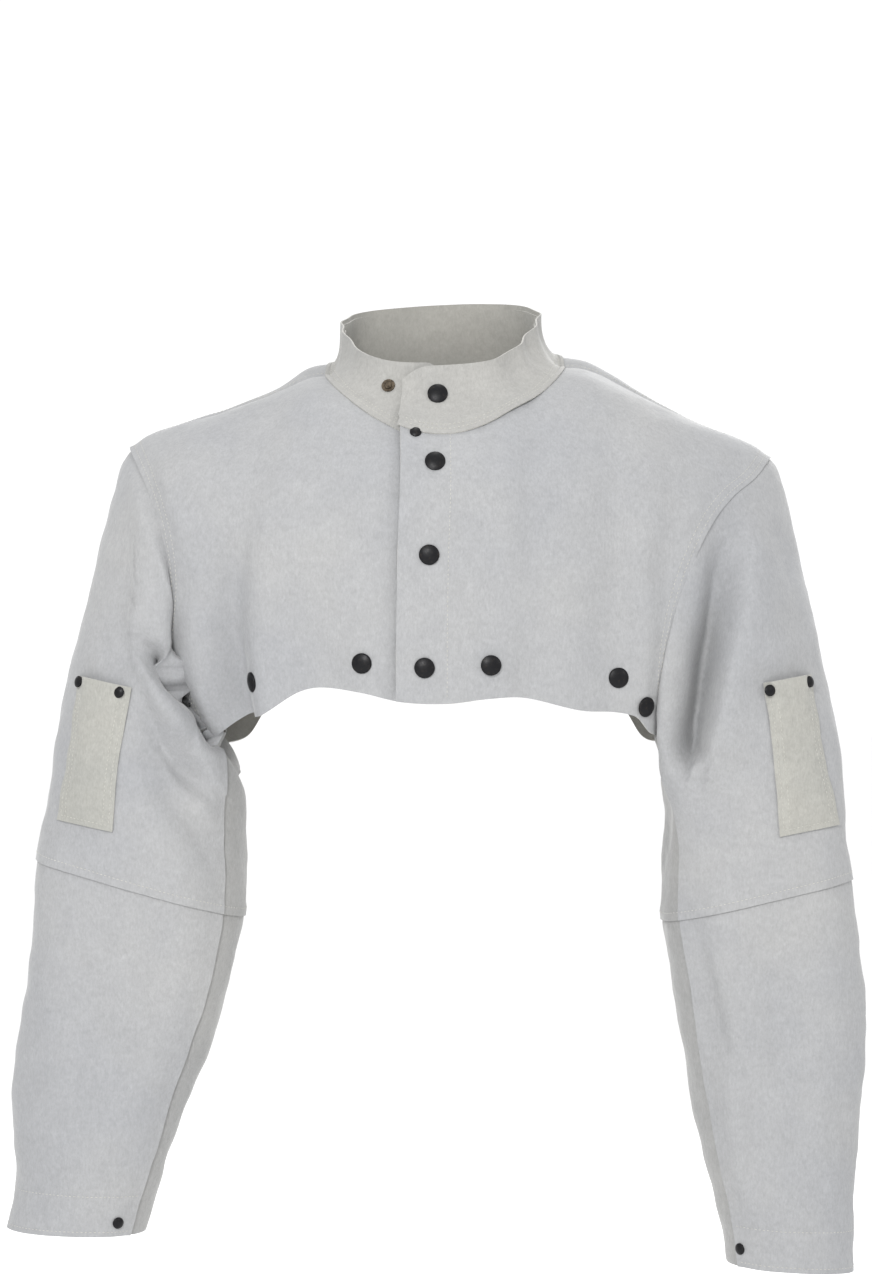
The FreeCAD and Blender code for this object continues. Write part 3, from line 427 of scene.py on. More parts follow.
def back_seam(side, t):
    """The armhole seam behind: from the shoulder to the underarm, bowed outwards."""
    seam = SLEEVES[side]["front_seam"]
    start, end = np.array(seam[0][1:]), np.array(seam[-1][1:])
    line = start + (end - start) * t[..., None]
    line[..., 0] += BACK_SEAM_BOW * np.sin(math.pi * t) * SLEEVES[side]["out"]
    return line


def seam_curve(side, front, count=40):
    """The armhole seam of one side, as x, z points."""
    t = np.linspace(0, 1, count)
    return along(SLEEVES[side]["front_seam"], t) if front else back_seam(side, t)


BODY_WAVES = [(1.9, 95, 1), (0.85, 38, 2), (0.2, 13, 3)]
SEAM_FLAT = 16
NECK_FLAT = 22
# Folds are rows of (path, height, width on the left, width on the right), as fold reads them
BODY_FRONT_FOLDS = [
    # wearer's right: the long valley under the shoulder and the roll beside it
    ([(-150, -75, 0.1), (-164, -150, 0.35), (-171, -205, 0.6), (-165, -290, 1)], -22, 8, 13),
    ([(-196, -185, 0.2), (-196, -235, 0.9), (-186, -300, 1)], 7, 11, 11),
    ([(-146, -150, 0.2), (-147, -210, 0.5), (-141, -290, 1)], 8, 15, 8),
    ([(-100, -150, 0.1), (-104, -215, 0.7), (-98, -280, 1)], -4.5, 18, 20),
    ([(-66, -170, 0.1), (-66, -225, 0.6), (-64, -280, 1)], 3, 18, 18),
    ([(-200, -70, 0.3), (-180, -100, 1), (-120, -118, 0.3)], 2.2, 16, 22),
    # wearer's left
    ([(128, -55, 0.3), (134, -110, 0.9), (134, -180, 1), (132, -255, 0.4)], -6, 11, 14),
    ([(156, -90, 0.2), (156, -160, 0.9), (160, -220, 1), (158, -290, 0.6)], 5, 12, 12),
    ([(186, -90, 0.5), (176, -140, 1), (171, -190, 0.4)], -3.5, 9, 12),
    ([(90, -120, 0.1), (93, -200, 0.6), (90, -285, 1)], 3.5, 20, 18),
    ([(62, -150, 0.1), (60, -215, 0.6), (60, -280, 1)], -2.5, 14, 14),
    ([(215, -75, 0.4), (190, -105, 1), (140, -125, 0.2)], 2, 15, 20),
]
BODY_BACK_FOLDS = [
    ([(-180, -90, 0.2), (-120, -140, 1), (-40, -165, 0.3)], 5, 16, 22),
    ([(185, -95, 0.2), (125, -150, 1), (50, -185, 0.3)], 5, 16, 22),
    ([(-165, -150, 0.2), (-150, -215, 1), (-130, -290, 1)], -7, 14, 18),
    ([(168, -150, 0.2), (152, -215, 1), (132, -290, 1)], -7, 14, 18),
    ([(-70, -170, 0.1), (-78, -225, 0.7), (-74, -285, 1)], 5, 20, 20),
    ([(30, -160, 0.1), (26, -220, 0.7), (32, -285, 1)], -5, 20, 22),
    ([(90, -170, 0.1), (92, -225, 0.7), (86, -285, 1)], 4.5, 18, 20),
]


def body_height(p, front):
    """How far the leather of the body stands off its form."""
    height = uneven(p, BODY_WAVES)
    for path, size, left, right in BODY_FRONT_FOLDS if front else BODY_BACK_FOLDS:
        height = height + fold(p, path, size, left, right)
    for side in SLEEVES:
        height = height * near(p, seam_curve(side, front), SEAM_FLAT)
    if front:
        for spot in FRONT_FASTENERS:
            height = height * near(p, [spot], FASTENER_FLAT)
    alpha = np.arctan2(p[..., 0], -p[..., 1])
    neck = superellipse(alpha, *NECK)
    return height * smooth((np.hypot(p[..., 0], p[..., 1]) - neck) / NECK_FLAT)


# ---------------------------------------------------------------- sheets of leather

def outward(grid, inside):
    """Unit normals of a grid of points, on the side away from a point inside."""
    du = np.gradient(grid, axis=0)
    dv = np.gradient(grid, axis=1)
    normals = unit(np.cross(du, dv))
    if np.sum(normals * (grid - inside)) < 0:
        normals = -normals
    return normals


def object_from(name, points, faces, looks, face_looks):
    mesh = bpy.data.meshes.new(name)
    mesh.from_pydata((np.asarray(points) * MM).tolist(), [], faces)
    for look in looks:
        mesh.materials.append(look)
    mesh.polygons.foreach_set("material_index", face_looks)
    mesh.polygons.foreach_set("use_smooth", [True] * len(mesh.polygons))
    mesh.update()
    piece = bpy.data.objects.new(name, mesh)
    bpy.context.scene.collection.objects.link(piece)
    return piece


def solid_sheet(name, outer, normals, thickness, looks):
    """Closed sheet of leather from its outer grid. looks: face, back and cut edge."""
    nu, nv = outer.shape[:2]
    inner = outer - normals * thickness
    points = np.concatenate([outer.reshape(-1, 3), inner.reshape(-1, 3)])
    index = np.arange(nu * nv).reshape(nu, nv)
    quads = np.stack([index[:-1, :-1], index[1:, :-1], index[1:, 1:], index[:-1, 1:]], -1)
    quads = quads.reshape(-1, 4)
    sample = quads[len(quads) // 2]
    turn = np.cross(points[sample[1]] - points[sample[0]], points[sample[2]] - points[sample[0]])
    if np.dot(turn, normals.reshape(-1, 3)[sample[0]]) < 0:
        quads = quads[:, ::-1]
    back = quads[:, ::-1] + nu * nv
    rim = np.concatenate([index[0], index[1:, -1], index[-1, -2::-1], index[-2:0:-1, 0]])
    after = np.roll(rim, -1)
    sides = np.stack([rim, after, after + nu * nv, rim + nu * nv], -1)
    face = quads[0]
    pairs = {(face[i], face[(i + 1) % 4]) for i in range(4)}
    if any((a, b) in pairs for a, b in zip(rim, after)):
        sides = sides[:, ::-1]
    faces = np.concatenate([quads, back, sides]).tolist()
    kinds = [0] * len(quads) + [1] * len(back) + [2] * len(sides)
    piece = object_from(name, points, faces, looks, kinds)
    sharpen(piece)
    return piece


def sharpen(piece):
    """Marks the edges of the cut as sharp, so that the flat faces shade cleanly up to them."""
    mesh = piece.data
    kinds = {}
    for polygon in mesh.polygons:
        for key in polygon.edge_keys:
            kinds.setdefault(key, set()).add(polygon.material_index)
    sharp = [len(kinds[edge.key]) > 1 for edge in mesh.edges]
    attribute = mesh.attributes.new("sharp_edge", "BOOLEAN", "EDGE")
    attribute.data.foreach_set("value", sharp)


def edge_row(grid, normals, edge, distance):
    """Points and normals of a line that runs inside one edge of a grid."""
    if edge in ("first_v", "last_v"):
        grid, normals = grid.transpose(1, 0, 2), normals.transpose(1, 0, 2)
    if edge in ("last_u", "last_v"):
        grid, normals = grid[::-1], normals[::-1]
    row, directions = [], []
    for j in range(grid.shape[1]):
        lengths = distances(grid[:, j])
        row.append(read_at(distance, lengths, grid[:, j]))
        directions.append(read_at(distance, lengths, normals[:, j]))
    return np.array(row), unit(np.array(directions))


def trimmed(row, start, end):
    """The part of a row of points and normals between two distances from its ends."""
    points, normals = row
    lengths = distances(points)
    wanted = np.linspace(start, lengths[-1] - end, max(8, len(points)))
    return read_at(wanted, lengths, points), unit(read_at(wanted, lengths, normals))


def stitch_rows(sheet, edge, inside, start, end):
    """Rows for stitches at several distances inside one edge, trimmed at both ends."""
    return [trimmed(edge_row(*sheet, edge, distance), start, end) for distance in inside]


# ---------------------------------------------------------------- thread

def stitch_shape():
    """One stitch along +X, half sunk in the leather: rings of a short thick thread."""
    rings, around = 5, 6
    points, faces = [], []
    for i in range(rings):
        t = i / (rings - 1) * 2 - 1
        swell = math.sqrt(max(1 - abs(t) ** 3, 0.05))
        for k in range(around):
            angle = 2 * math.pi * k / around
            points.append((t * STITCH_LENGTH / 2, math.cos(angle) * STITCH_WIDTH / 2 * swell,
                           math.sin(angle) * STITCH_WIDTH / 2 * swell - STITCH_SINK * t * t))
    for i in range(rings - 1):
        for k in range(around):
            a, b = i * around + k, i * around + (k + 1) % around
            faces.append((a, a + around, b + around, b))
    faces.append(tuple(range(around)))
    faces.append(tuple((rings - 1) * around + k for k in reversed(range(around))))
    return np.array(points), faces


def stitches(name, rows, look):
    """Thread along rows of (points, normals), as one piece."""
    shape, shape_faces = stitch_shape()
    random = np.random.default_rng(SEED + len(name))
    points, faces = [], []
    for line, normals in rows:
        lengths = distances(line)
        for i in range(int(lengths[-1] / STITCH_PITCH)):
            at = (i + 0.5) * STITCH_PITCH
            before, after = read_at([at - 1, at + 1], lengths, line)
            normal = unit(read_at(at, lengths, normals))
            ahead = unit(after - before)
            side = unit(np.cross(normal, ahead))
            ahead = unit(ahead + side * random.normal() * STITCH_SKEW)
            side = unit(np.cross(normal, ahead))
            lift = STITCH_LIFT + random.normal() * STITCH_UNEVEN
            base = len(points) * len(shape)
            points.append((before + after) / 2 + normal * lift + shape @ np.stack([ahead, side, normal]))
            faces.extend([tuple(base + v for v in face) for face in shape_faces])
    return object_from(name, np.concatenate(points), faces, [look], [0] * len(faces))


# ---------------------------------------------------------------- finishes

def node(tree, kind, **values):
    made = tree.nodes.new(kind)
    for name, value in values.items():
        if name in made.inputs:
            made.inputs[name].default_value = value
        else:
            setattr(made, name, value)
    return made


def noise(tree, scale, detail=4, roughness=0.55, stretch=(1, 1, 1)):
    """Noise in object space; scale is bumps per metre."""
    place = node(tree, "ShaderNodeTexCoord")
    mapping = node(tree, "ShaderNodeMapping", Scale=stretch)
    texture = node(tree, "ShaderNodeTexNoise", Scale=scale, Detail=detail, Roughness=roughness)
    tree.links.new(place.outputs["Object"], mapping.inputs["Vector"])
    tree.links.new(mapping.outputs["Vector"], texture.inputs["Vector"])
    return texture.outputs["Fac"]


def spread(tree, value, low, high, to_low, to_high):
    """Value between low and high, spread over another range."""
    change = node(tree, "ShaderNodeMapRange")
    for socket, number in zip(change.inputs[1:5], (low, high, to_low, to_high)):
        socket.default_value = number
    tree.links.new(value, change.inputs[0])
    return change.outputs[0]


def mixed(tree, share, a, b, blend="MIX"):
    """Two colours mixed; share and the colours are numbers, tuples or sockets."""
    mix = node(tree, "ShaderNodeMix", data_type="RGBA", blend_type=blend)
    for socket, value in ((mix.inputs[0], share), (mix.inputs[6], a), (mix.inputs[7], b)):
        if isinstance(value, bpy.types.NodeSocket):
            tree.links.new(value, socket)
        else:
            socket.default_value = value
    return mix.outputs[2]


def bump(tree, layers):
    """Bumps on top of each other: rows of (height, strength, depth in metres)."""
    normal = None
    for height, strength, depth in layers:
        made = node(tree, "ShaderNodeBump", Strength=strength, Distance=depth)
        tree.links.new(height, made.inputs["Height"])
        if normal:
            tree.links.new(normal, made.inputs["Normal"])
        normal = made.outputs["Normal"]
    return normal


def new_material(name):
    material = bpy.data.materials.new(name)
    material.use_nodes = True
    tree = material.node_tree
    shader = next(n for n in tree.nodes if n.type == "BSDF_PRINCIPLED")
    return material, tree, shader


def leather(name, cool, warm, nap=1.0, grain=1.0):
    """Split leather: short nap, cloudy colour, small creases."""
    material, tree, shader = new_material(name)
    clouds = spread(tree, noise(tree, 8, 3), 0.35, 0.68, 0, 1)
    patches = noise(tree, 55, 5, 0.6)
    fibres = noise(tree, 620, 5, 0.7, (1, 1, 0.45))
    specks = noise(tree, 210, 3, 0.6)
    colour = mixed(tree, clouds, (*cool, 1), (*warm, 1))
    for value, low, high, dark, light in ((patches, 0.3, 0.7, 0.97, 1.02),
                                          (specks, 0.3, 0.7, 0.945, 1.04),
                                          (fibres, 0.25, 0.75, 1 - 0.13 * nap, 1 + 0.07 * nap)):
        shade = spread(tree, value, low, high, dark, light)
        colour = mixed(tree, 1.0, colour, shade, "MULTIPLY")
    tree.links.new(colour, shader.inputs["Base Color"])
    tree.links.new(spread(tree, fibres, 0.3, 0.7, 0.97, 0.82), shader.inputs["Roughness"])
    shader.inputs["Specular IOR Level"].default_value = 0.22
    shader.inputs["Sheen Weight"].default_value = 0.22
    shader.inputs["Sheen Roughness"].default_value = 0.45
    creases = noise(tree, 130, 4, 0.55, (1, 1, 0.8))
    layers = [(noise(tree, 38, 3), 0.5 * grain, 0.0022), (creases, 0.4 * grain, 0.0009),
              (fibres, 0.55 * nap, 0.00045)]
    tree.links.new(bump(tree, layers), shader.inputs["Normal"])
    return material


def thread_material():
    material, tree, shader = new_material("cream_thread")
    strands = noise(tree, 1500, 2, 0.5)
    tint = spread(tree, strands, 0.3, 0.7, 0, 1)
    tint = mixed(tree, tint, (0.31, 0.305, 0.275, 1), (0.44, 0.432, 0.39, 1))
    tree.links.new(tint, shader.inputs["Base Color"])
    shader.inputs["Roughness"].default_value = 0.7
    shader.inputs["Sheen Weight"].default_value = 0.2
    tree.links.new(bump(tree, [(strands, 0.6, 0.0003)]), shader.inputs["Normal"])
    return material


def enamel_material():
    """Black enamel over brass: satin, with dull scuffs."""
    material, tree, shader = new_material("black_enamel_finish")
    scuffs = spread(tree, noise(tree, 420, 6, 0.7), 0.55, 0.72, 0, 1)
    tint = mixed(tree, scuffs, (0.004, 0.004, 0.005, 1), (0.020, 0.016, 0.013, 1))
    tree.links.new(tint, shader.inputs["Base Color"])
    tree.links.new(spread(tree, noise(tree, 900, 4), 0.3, 0.7, 0.3, 0.5), shader.inputs["Roughness"])
    shader.inputs["Specular IOR Level"].default_value = 0.16
    tree.links.new(bump(tree, [(noise(tree, 700, 3), 0.25, 0.0002)]), shader.inputs["Normal"])
    return material


def brass_material():
    """Dark antique brass, brighter where it is rubbed."""
    material, tree, shader = new_material("antique_brass_finish")
    rubbed = spread(tree, noise(tree, 380, 5, 0.65), 0.4, 0.66, 0, 1)
    tint = mixed(tree, rubbed, (0.045, 0.036, 0.027, 1), (0.15, 0.122, 0.09, 1))
    tree.links.new(tint, shader.inputs["Base Color"])
    shader.inputs["Metallic"].default_value = 1.0
    tree.links.new(spread(tree, rubbed, 0, 1, 0.5, 0.27), shader.inputs["Roughness"])
    tree.links.new(bump(tree, [(noise(tree, 800, 3), 0.3, 0.0002)]), shader.inputs["Normal"])
    return material


SHELL = leather("shell_leather", (0.264, 0.268, 0.276), (0.292, 0.293, 0.293))
SHELL_BACK = leather("shell_leather_back", (0.262, 0.258, 0.238), (0.300, 0.292, 0.268), 0.8, 1.3)
CUT_EDGE = leather("leather_cut_edge", (0.35, 0.345, 0.325), (0.38, 0.373, 0.35), 1.6, 0.6)
WARM = leather("warm_leather", (0.274, 0.272, 0.262), (0.292, 0.288, 0.274), 1.0, 1.2)
POCKET = leather("pocket_leather_shell", (0.275, 0.275, 0.256), (0.304, 0.299, 0.274), 1.1, 1.4)
THREAD = thread_material()
ENAMEL = enamel_material()
BRASS = brass_material()
# Leather of the sleeves' under panels, darker than the shell: painted shade for the inner strips that turn
# away from the light
PAINTED_SHADE_UNDERARM = leather("underarm_leather_painted_shade", (0.238, 0.239, 0.237), (0.266, 0.265, 0.259), 1.0, 1.3)
SHELL_LOOKS, PAINTED_SHADE_UNDERARM_LOOKS, WARM_LOOKS, POCKET_LOOKS = [
    [face, SHELL_BACK, CUT_EDGE] for face in (SHELL, PAINTED_SHADE_UNDERARM, WARM, POCKET)]


# ---------------------------------------------------------------- how pieces are placed: riding pieces hang from a joint's body, bent ones are baked in place

def bend_line(kind, side=None):
    """Direction across the opening front, a shoulder or an elbow, and where its bend starts and ends."""
    if kind == "flap":
        direction, start, end = FLAP_BEND
    elif kind == "shoulder":
        direction, start, end = SHOULDER_BEND
        direction = Vector((direction.x * SLEEVES[side]["out"], 0, direction.z))
    else:
        direction, start = elbow_direction(side)
        end = start + ELBOW_BEND_LENGTH
    return direction.normalized(), start, end


def bend(piece, kind, side=None):
    """Bakes a soft piece's placement into its mesh; the bend line across its joint is worked out, but the
    piece is not bent by it.
    """
    direction, start, end = bend_line(kind, side)
    if kind == "flap":
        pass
    elif kind == "shoulder":
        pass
    else:
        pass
    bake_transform(piece)


def elbow_direction(side):
    """Direction down the sleeve across its elbow seam, and the seam's distance along it."""
    outer = along(SLEEVES[side]["outer"], ELBOW_SEAM)
    inner = along(SLEEVES[side]["inner"], ELBOW_SEAM)
    across = outer - inner
    direction = Vector((across[1], 0, -across[0])).normalized()
    if direction.z > 0:
        direction = -direction
    return direction, direction.x * outer[0] + direction.z * outer[1]


def tie(piece, way):
    """way is ("ride", body), ("flap",), ("shoulder", side) or ("elbow", side)."""
    if way[0] == "ride":
        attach(piece, way[1])
    else:
        bend(piece, *way)


def leather_piece(name, sheet, way, nodes, looks=SHELL_LOOKS, thickness=LEATHER):
    """One leather piece from its sheet, which is the grid of its outer face with the normals."""
    piece = solid_sheet(name, *sheet, thickness, looks)
    tie(piece, way)
    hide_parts(*nodes)


def lining_piece(name, sheet, way, cad_node):
    leather_piece(name, sheet, way, [cad_node], WARM_LOOKS, LINING)


def thread_piece(name, rows, way):
    tie(stitches(name, rows, THREAD), way)


# ---------------------------------------------------------------- body panels

def spaced(curve, count, front):
    """Places along a curve, resampled to be even on the body's form."""
    lengths = distances(body_point(curve, front))
    return read_at(np.linspace(0, lengths[-1], count), lengths, curve)


def between(left, right, top, bottom):
    """Grid of places inside four edges; left and right run down, top and bottom run across."""
    u = np.linspace(0, 1, len(top))[:, None, None]
    v = np.linspace(0, 1, len(left))[None, :, None]
    grid = (1 - v) * top[:, None] + v * bottom[:, None] + (1 - u) * left[None] + u * right[None]
    corners = (1 - u) * (1 - v) * top[0] + u * (1 - v) * top[-1]
    corners = corners + (1 - u) * v * bottom[0] + u * v * bottom[-1]
    return grid - corners


def hem_z(x, front):
    return along(HEM if front else BACK_HEM, x)[..., 0]


def straight_places(a, b, count):
    t = np.linspace(0, 1, count)[:, None]
    return a + (b - a) * t


def centre_edge(side, front):
    """Neck angle where a half's centre edge starts, and the edge's x, z points down to the hem."""
    if not front:
        z = np.linspace(body_point(neck_place(np.array([math.pi]), False), False)[0, 2],
                        hem_z(0.0, False), EDGE_POINTS)
        return math.pi * SLEEVES[side]["out"], np.stack([np.zeros(EDGE_POINTS), z], 1)
    rows = [(z, UNDER_LAYER_EDGE_X if side == "right" else x) for x, z in reversed(FLAP_EDGE)]
    alphas = np.linspace(-0.9, 0.9, 721)
    points = body_point(neck_place(alphas, True), True)
    best = int(np.argmin(np.abs(points[:, 0] - along(rows, points[:, 2])[..., 0])))
    z = np.linspace(points[best, 2], hem_z(rows[0][1], True), EDGE_POINTS)
    x = along(rows, z)[..., 0]
    x[0] = points[best, 0]
    return alphas[best], np.stack([x, z], 1)


def body_half(side, front):
    """Grid of one half of the front or back, and the column where it can be split."""
    out = SLEEVES[side]["out"]
    alpha, edge = centre_edge(side, front)
    down = int(PANEL_LENGTH / STEP)
    across_in, across_out = int(PANEL_INNER_WIDTH / STEP), int(PANEL_OUTER_WIDTH / STEP)
    neck = neck_place(np.linspace(alpha, out * math.pi / 2, NECK_POINTS), front)
    edge_places = body_place(edge[:, 0], edge[:, 1], front)
    edge_places[0] = neck[0]
    low_corner = body_place(np.array(out * SPLIT_X), hem_z(out * SPLIT_X, front), front)
    seam = seam_curve(side, front, SEAM_POINTS)
    lap = SEAM_LAP * np.linspace(1, 0, SEAM_POINTS) ** 0.3
    seam_places = body_place(seam[:, 0] + out * lap, seam[:, 1], front)
    seam_places[-1] = body_place(np.array(out * ARMPIT_X), np.array(ARMPIT_Z), front)
    shoulder = straight_places(neck[-1], np.array([seam_places[0, 0], 0]), EDGE_POINTS)
    seam_places[0] = shoulder[-1]

    def hem(start, end):
        x = np.linspace(start, end, EDGE_POINTS)
        return body_place(x, hem_z(x, front), front)

    hem_out = hem(out * SPLIT_X, out * ARMPIT_X)
    hem_out[0], hem_out[-1] = low_corner, seam_places[-1]
    middle = spaced(straight_places(neck[-1], low_corner, EDGE_POINTS), down, front)
    inner = between(spaced(edge_places, down, front), middle, spaced(neck, across_in, front),
                    spaced(hem(edge[-1, 0], out * SPLIT_X), across_in, front))
    outer = between(middle, spaced(seam_places, down, front),
                    spaced(shoulder, across_out, front), spaced(hem_out, across_out, front))
    return np.concatenate([inner, outer[1:]]), across_in - 1


def body_surface(side, front):
    """Outer face of one half of the body with its normals, and the column where it can be split."""
    places, split = body_half(side, front)
    form = body_point(places, front)
    centre = np.array([0, 0, -150])
    normals = outward(form, centre)
    height = body_height(form, front)
    if front and side == "left":
        height = height + rise(form[..., 0])
    if front and side == "right":
        inside = UNDER_LAYER_EDGE_X + 8 - np.abs(form[..., 0])
        height = height - UNDER_LAYER_DROP * smooth(inside / 20)
    grid = form + normals * height[..., None]
    return (grid, outward(grid, centre)), split


def columns(sheet, start, end=None):
    """Part of a sheet, from one column of its grid to another."""
    return sheet[0][start:end], sheet[1][start:end]


def make_fronts():
    """Both fronts with their facings and thread. Returns the face of each with its normals."""
    right, split = body_surface("right", True)
    way = ("shoulder", "right")
    leather_piece("right_front", right, way, ["right_front_panel"])
    thread_piece("right_front_seam_thread", armhole_rows(right, split), way)
    facing_strip("right_front", right, ("ride", "torso"))

    left, split = body_surface("left", True)
    way = ("shoulder", "left")
    leather_piece("left_front", columns(left, 0, split + 1), ("flap",),
                  ["left_front_flap", "front_fold_strip"])
    leather_piece("left_front_side", columns(left, split), way, ["left_front_panel"])
    thread_piece("left_front_seam_thread", armhole_rows(left, split), way)
    rows = stitch_rows(left, "first_u", [FACING_WIDTH - 2], 14, 4)
    thread_piece("left_front_edge_thread", rows, ("flap",))
    facing_strip("left_front", left, ("ride", "front_flap"))
    return {"right": right, "left": left}


def armhole_rows(sheet, split):
    """The two rows of stitches beside an armhole."""
    return stitch_rows(columns(sheet, split), "last_u", STITCH_ROWS, 4, 6)


def facing_strip(front, sheet, way):
    """Strip of leather behind a front edge, as wide as its row of stitches needs."""
    widths = distances(sheet[0][:, sheet[0].shape[1] // 2])[1:]
    count = int(np.searchsorted(widths, FACING_WIDTH)) + 2
    low = int(sheet[0].shape[1] * 0.02)
    grid, normals = [layer[:count, low:-low] for layer in sheet]
    strip = (grid - normals * (LEATHER + LAYER_GAP), normals)
    lining_piece(front + "_facing_strip", strip, way, front + "_facing")


def make_back():
    for side in SLEEVES:
        sheet, split = body_surface(side, False)
        way = ("shoulder", side)
        leather_piece("back_" + side, sheet, way, ["back_panel"])
        rows = armhole_rows(sheet, split)
        rows += stitch_rows(columns(sheet, split), "first_v", [SHOULDER_STITCH_ROW], 4, 4)
        thread_piece("back_" + side + "_seam_thread", rows, way)


# ---------------------------------------------------------------- collar

def collar_point(alpha, share, lifted_by):
    """Point of the collar's outer face: angle from the front centre, share of its height."""
    front = np.cos(alpha) > 0
    bottom = np.where(front[..., None], body_point(neck_place(alpha, True), True),
                      body_point(neck_place(alpha, False), False))
    radial = np.stack([np.sin(alpha), -np.cos(alpha), np.zeros_like(alpha)], -1)
    up = np.stack([np.zeros_like(alpha), np.zeros_like(alpha), np.ones_like(alpha)], -1)
    bottom = bottom + (radial + up * COLLAR_LIFT_SLOPE) * (lifted_by[..., None] * COLLAR_LIFT_SHARE)
    high = superellipse(alpha, *COLLAR_TOP) + lifted_by
    top = radial * high[..., None]
    top[..., 0] += COLLAR_TOP_SHIFT
    top[..., 2] = COLLAR_TOP_Z + COLLAR_TOP_RISE_BACK * top[..., 1] + COLLAR_TOP_RISE_LEFT * top[..., 0]
    top[..., 2] += COLLAR_SIDE_RISE * np.abs(np.sin(alpha)) ** 4
    lean = 1 - np.sign(1 - share) * np.abs(1 - share) ** COLLAR_FLARE
    point = bottom + (top - bottom) * lean[..., None]
    point[..., 2] = bottom[..., 2] + (top[..., 2] - bottom[..., 2]) * share
    return point


def collar_rise(alpha):
    x = superellipse(alpha, *NECK) * np.sin(alpha)
    return np.where(np.cos(alpha) > 0, COLLAR_RISE_SHARE * rise(x), 0)


def skirt_point(alpha, level):
    """Point where the collar's seam edge lies on the body; level runs from 0 to 1."""
    reach = (SKIRT + SKIRT_FRONT * np.maximum(np.cos(alpha), 0) ** 2) * level
    return np.where(np.cos(alpha)[..., None] > 0, body_point(neck_place(alpha, True, reach), True),
                    body_point(neck_place(alpha, False, reach), False))


def collar_grid(start, end, over):
    """Outer face of part of the collar, from its top down to the seam edge on the body."""
    across = int(abs(end - start) * COLLAR_RADIUS / STEP) + 2
    levels = np.concatenate([np.linspace(1, 0, collar_rows()), np.linspace(0, -1, SKIRT_ROWS)[1:]])
    alpha, level = np.meshgrid(np.linspace(start, end, across), levels, indexing="ij")
    share, lying = np.maximum(level, 0), np.maximum(-level, 0)
    if not over:
        share = share * (1 - 0.13 * smooth((alpha - 2 * math.pi + 0.16) / 0.2))
    by = collar_rise(alpha) if over else np.zeros_like(alpha)
    plain = collar_point(alpha, share, np.zeros_like(alpha))
    plain = np.where((lying > 0)[..., None], skirt_point(alpha, lying), plain)
    centre = np.array([0, 0, 15])
    shift = collar_point(alpha, share, by) - collar_point(alpha, share, np.zeros_like(alpha))
    on_body = outward(plain, centre) * (by / COLLAR_RISE_SHARE)[..., None]
    grid = plain + shift + (on_body - shift) * smooth(2 * lying)[..., None]
    normals = outward(grid, centre)
    height = 0.5 * waves(grid, 40, 11) + 0.2 * waves(grid, 15, 12)
    height = height * (1 - lying) + SKIRT_LIFT * smooth((0.08 - level) / 0.1)
    for place, level_reach, width, depth in COLLAR_FOLDS:
        turn = (alpha - place + math.pi) % (2 * math.pi) - math.pi
        height = height + depth * np.exp(-(turn / width) ** 2) * smooth(share / level_reach)
    grid = grid + normals * height[..., None]
    return grid, outward(grid, centre)


def collar_rows():
    return max(int(COLLAR_WIDTH / STEP), 9)


def collar_part(name, sheet, way, nodes, lining_name, lining_node, thread_start):
    """One part of the collar: its leather, its lining and its thread."""
    leather_piece(name, sheet, way, nodes, WARM_LOOKS, COLLAR_LEATHER)
    grid, normals = [layer[:, 1:collar_rows() - 1] for layer in sheet]
    lining = (grid - normals * (COLLAR_LEATHER + LAYER_GAP), normals)
    lining_piece(lining_name, lining, way, lining_node)
    thread_piece(name + "_thread", stitch_rows(sheet, "last_v", COLLAR_STITCH_ROWS, thread_start, 3), way)


def make_collar():
    band = collar_grid(COLLAR_SPLIT, 2 * math.pi + UNDER_COLLAR_END, False)
    collar_part("collar_band", band, ("ride", "torso"), ["collar_outer"],
                "collar_band_lining", "collar_lining", 3)
    grid, normals = collar_grid(overlap_angle(), COLLAR_SPLIT, True)
    collar_part("collar_overlap", (round_corner(grid), normals), ("flap",),
                ["collar_overlap_outer", "collar_fold_strip"],
                "collar_overlap_lining_sheet", "collar_overlap_lining", 5)


def overlap_angle():
    return float(centre_edge("left", True)[0]) + 0.02


def round_corner(grid):
    """The free end of the collar: its edge leans back and its top corner is rounded off."""
    grid = grid.copy()
    reach = int(COLLAR_CORNER_REACH / STEP)
    for i, column in enumerate(grid[:reach]):
        drop = COLLAR_CORNER_DROP * (1 - i / reach) ** 2.2
        height = column[0, 2] - column[-1, 2]
        column[:, 2] -= drop * ((column[:, 2] - column[-1, 2]) / height) ** 1.5
    return grid


# ---------------------------------------------------------------- sleeves

def sleeve_form(side, s, theta):
    """Point of a sleeve: share of its length, angle from the outer line (negative in front)."""
    sleeve = SLEEVES[side]
    s, theta = np.broadcast_arrays(np.asarray(s, float), np.asarray(theta, float))
    n = SLEEVE_SQUARENESS
    radius = (np.abs(np.cos(theta)) ** n + np.abs(np.sin(theta)) ** n) ** (-1 / n)
    c, d = radius * np.cos(theta), radius * np.sin(theta)

    def oval(at, half_depth, centre_y):
        outer, inner = along(sleeve["outer"], at), along(sleeve["inner"], at)
        middle, reach = (outer + inner) / 2, (outer - inner) / 2
        return np.stack([middle[..., 0] + reach[..., 0] * c, centre_y + half_depth * d,
                         middle[..., 1] + reach[..., 1] * c], -1)

    flat = oval(s, along(HALF_DEPTH, s)[..., 0], along(DEPTH_CENTRE, s)[..., 0])
    hold = 1 - smooth(s / ARMHOLE_SHARE)
    plain = oval(np.zeros_like(s), HALF_DEPTH[0][1], 0)
    t = (1 - c) / 2
    front = along(sleeve["front_seam"], t)
    back = back_seam(side, t)
    front_ring = np.stack([front[..., 0], front_y(front[..., 0], front[..., 1]), front[..., 1]], -1)
    back_ring = np.stack([back[..., 0], back_y(back[..., 0], back[..., 1]), back[..., 1]], -1)
    ring = np.where((d <= 0)[..., None], front_ring, back_ring)
    return flat + (ring - plain) * hold[..., None]


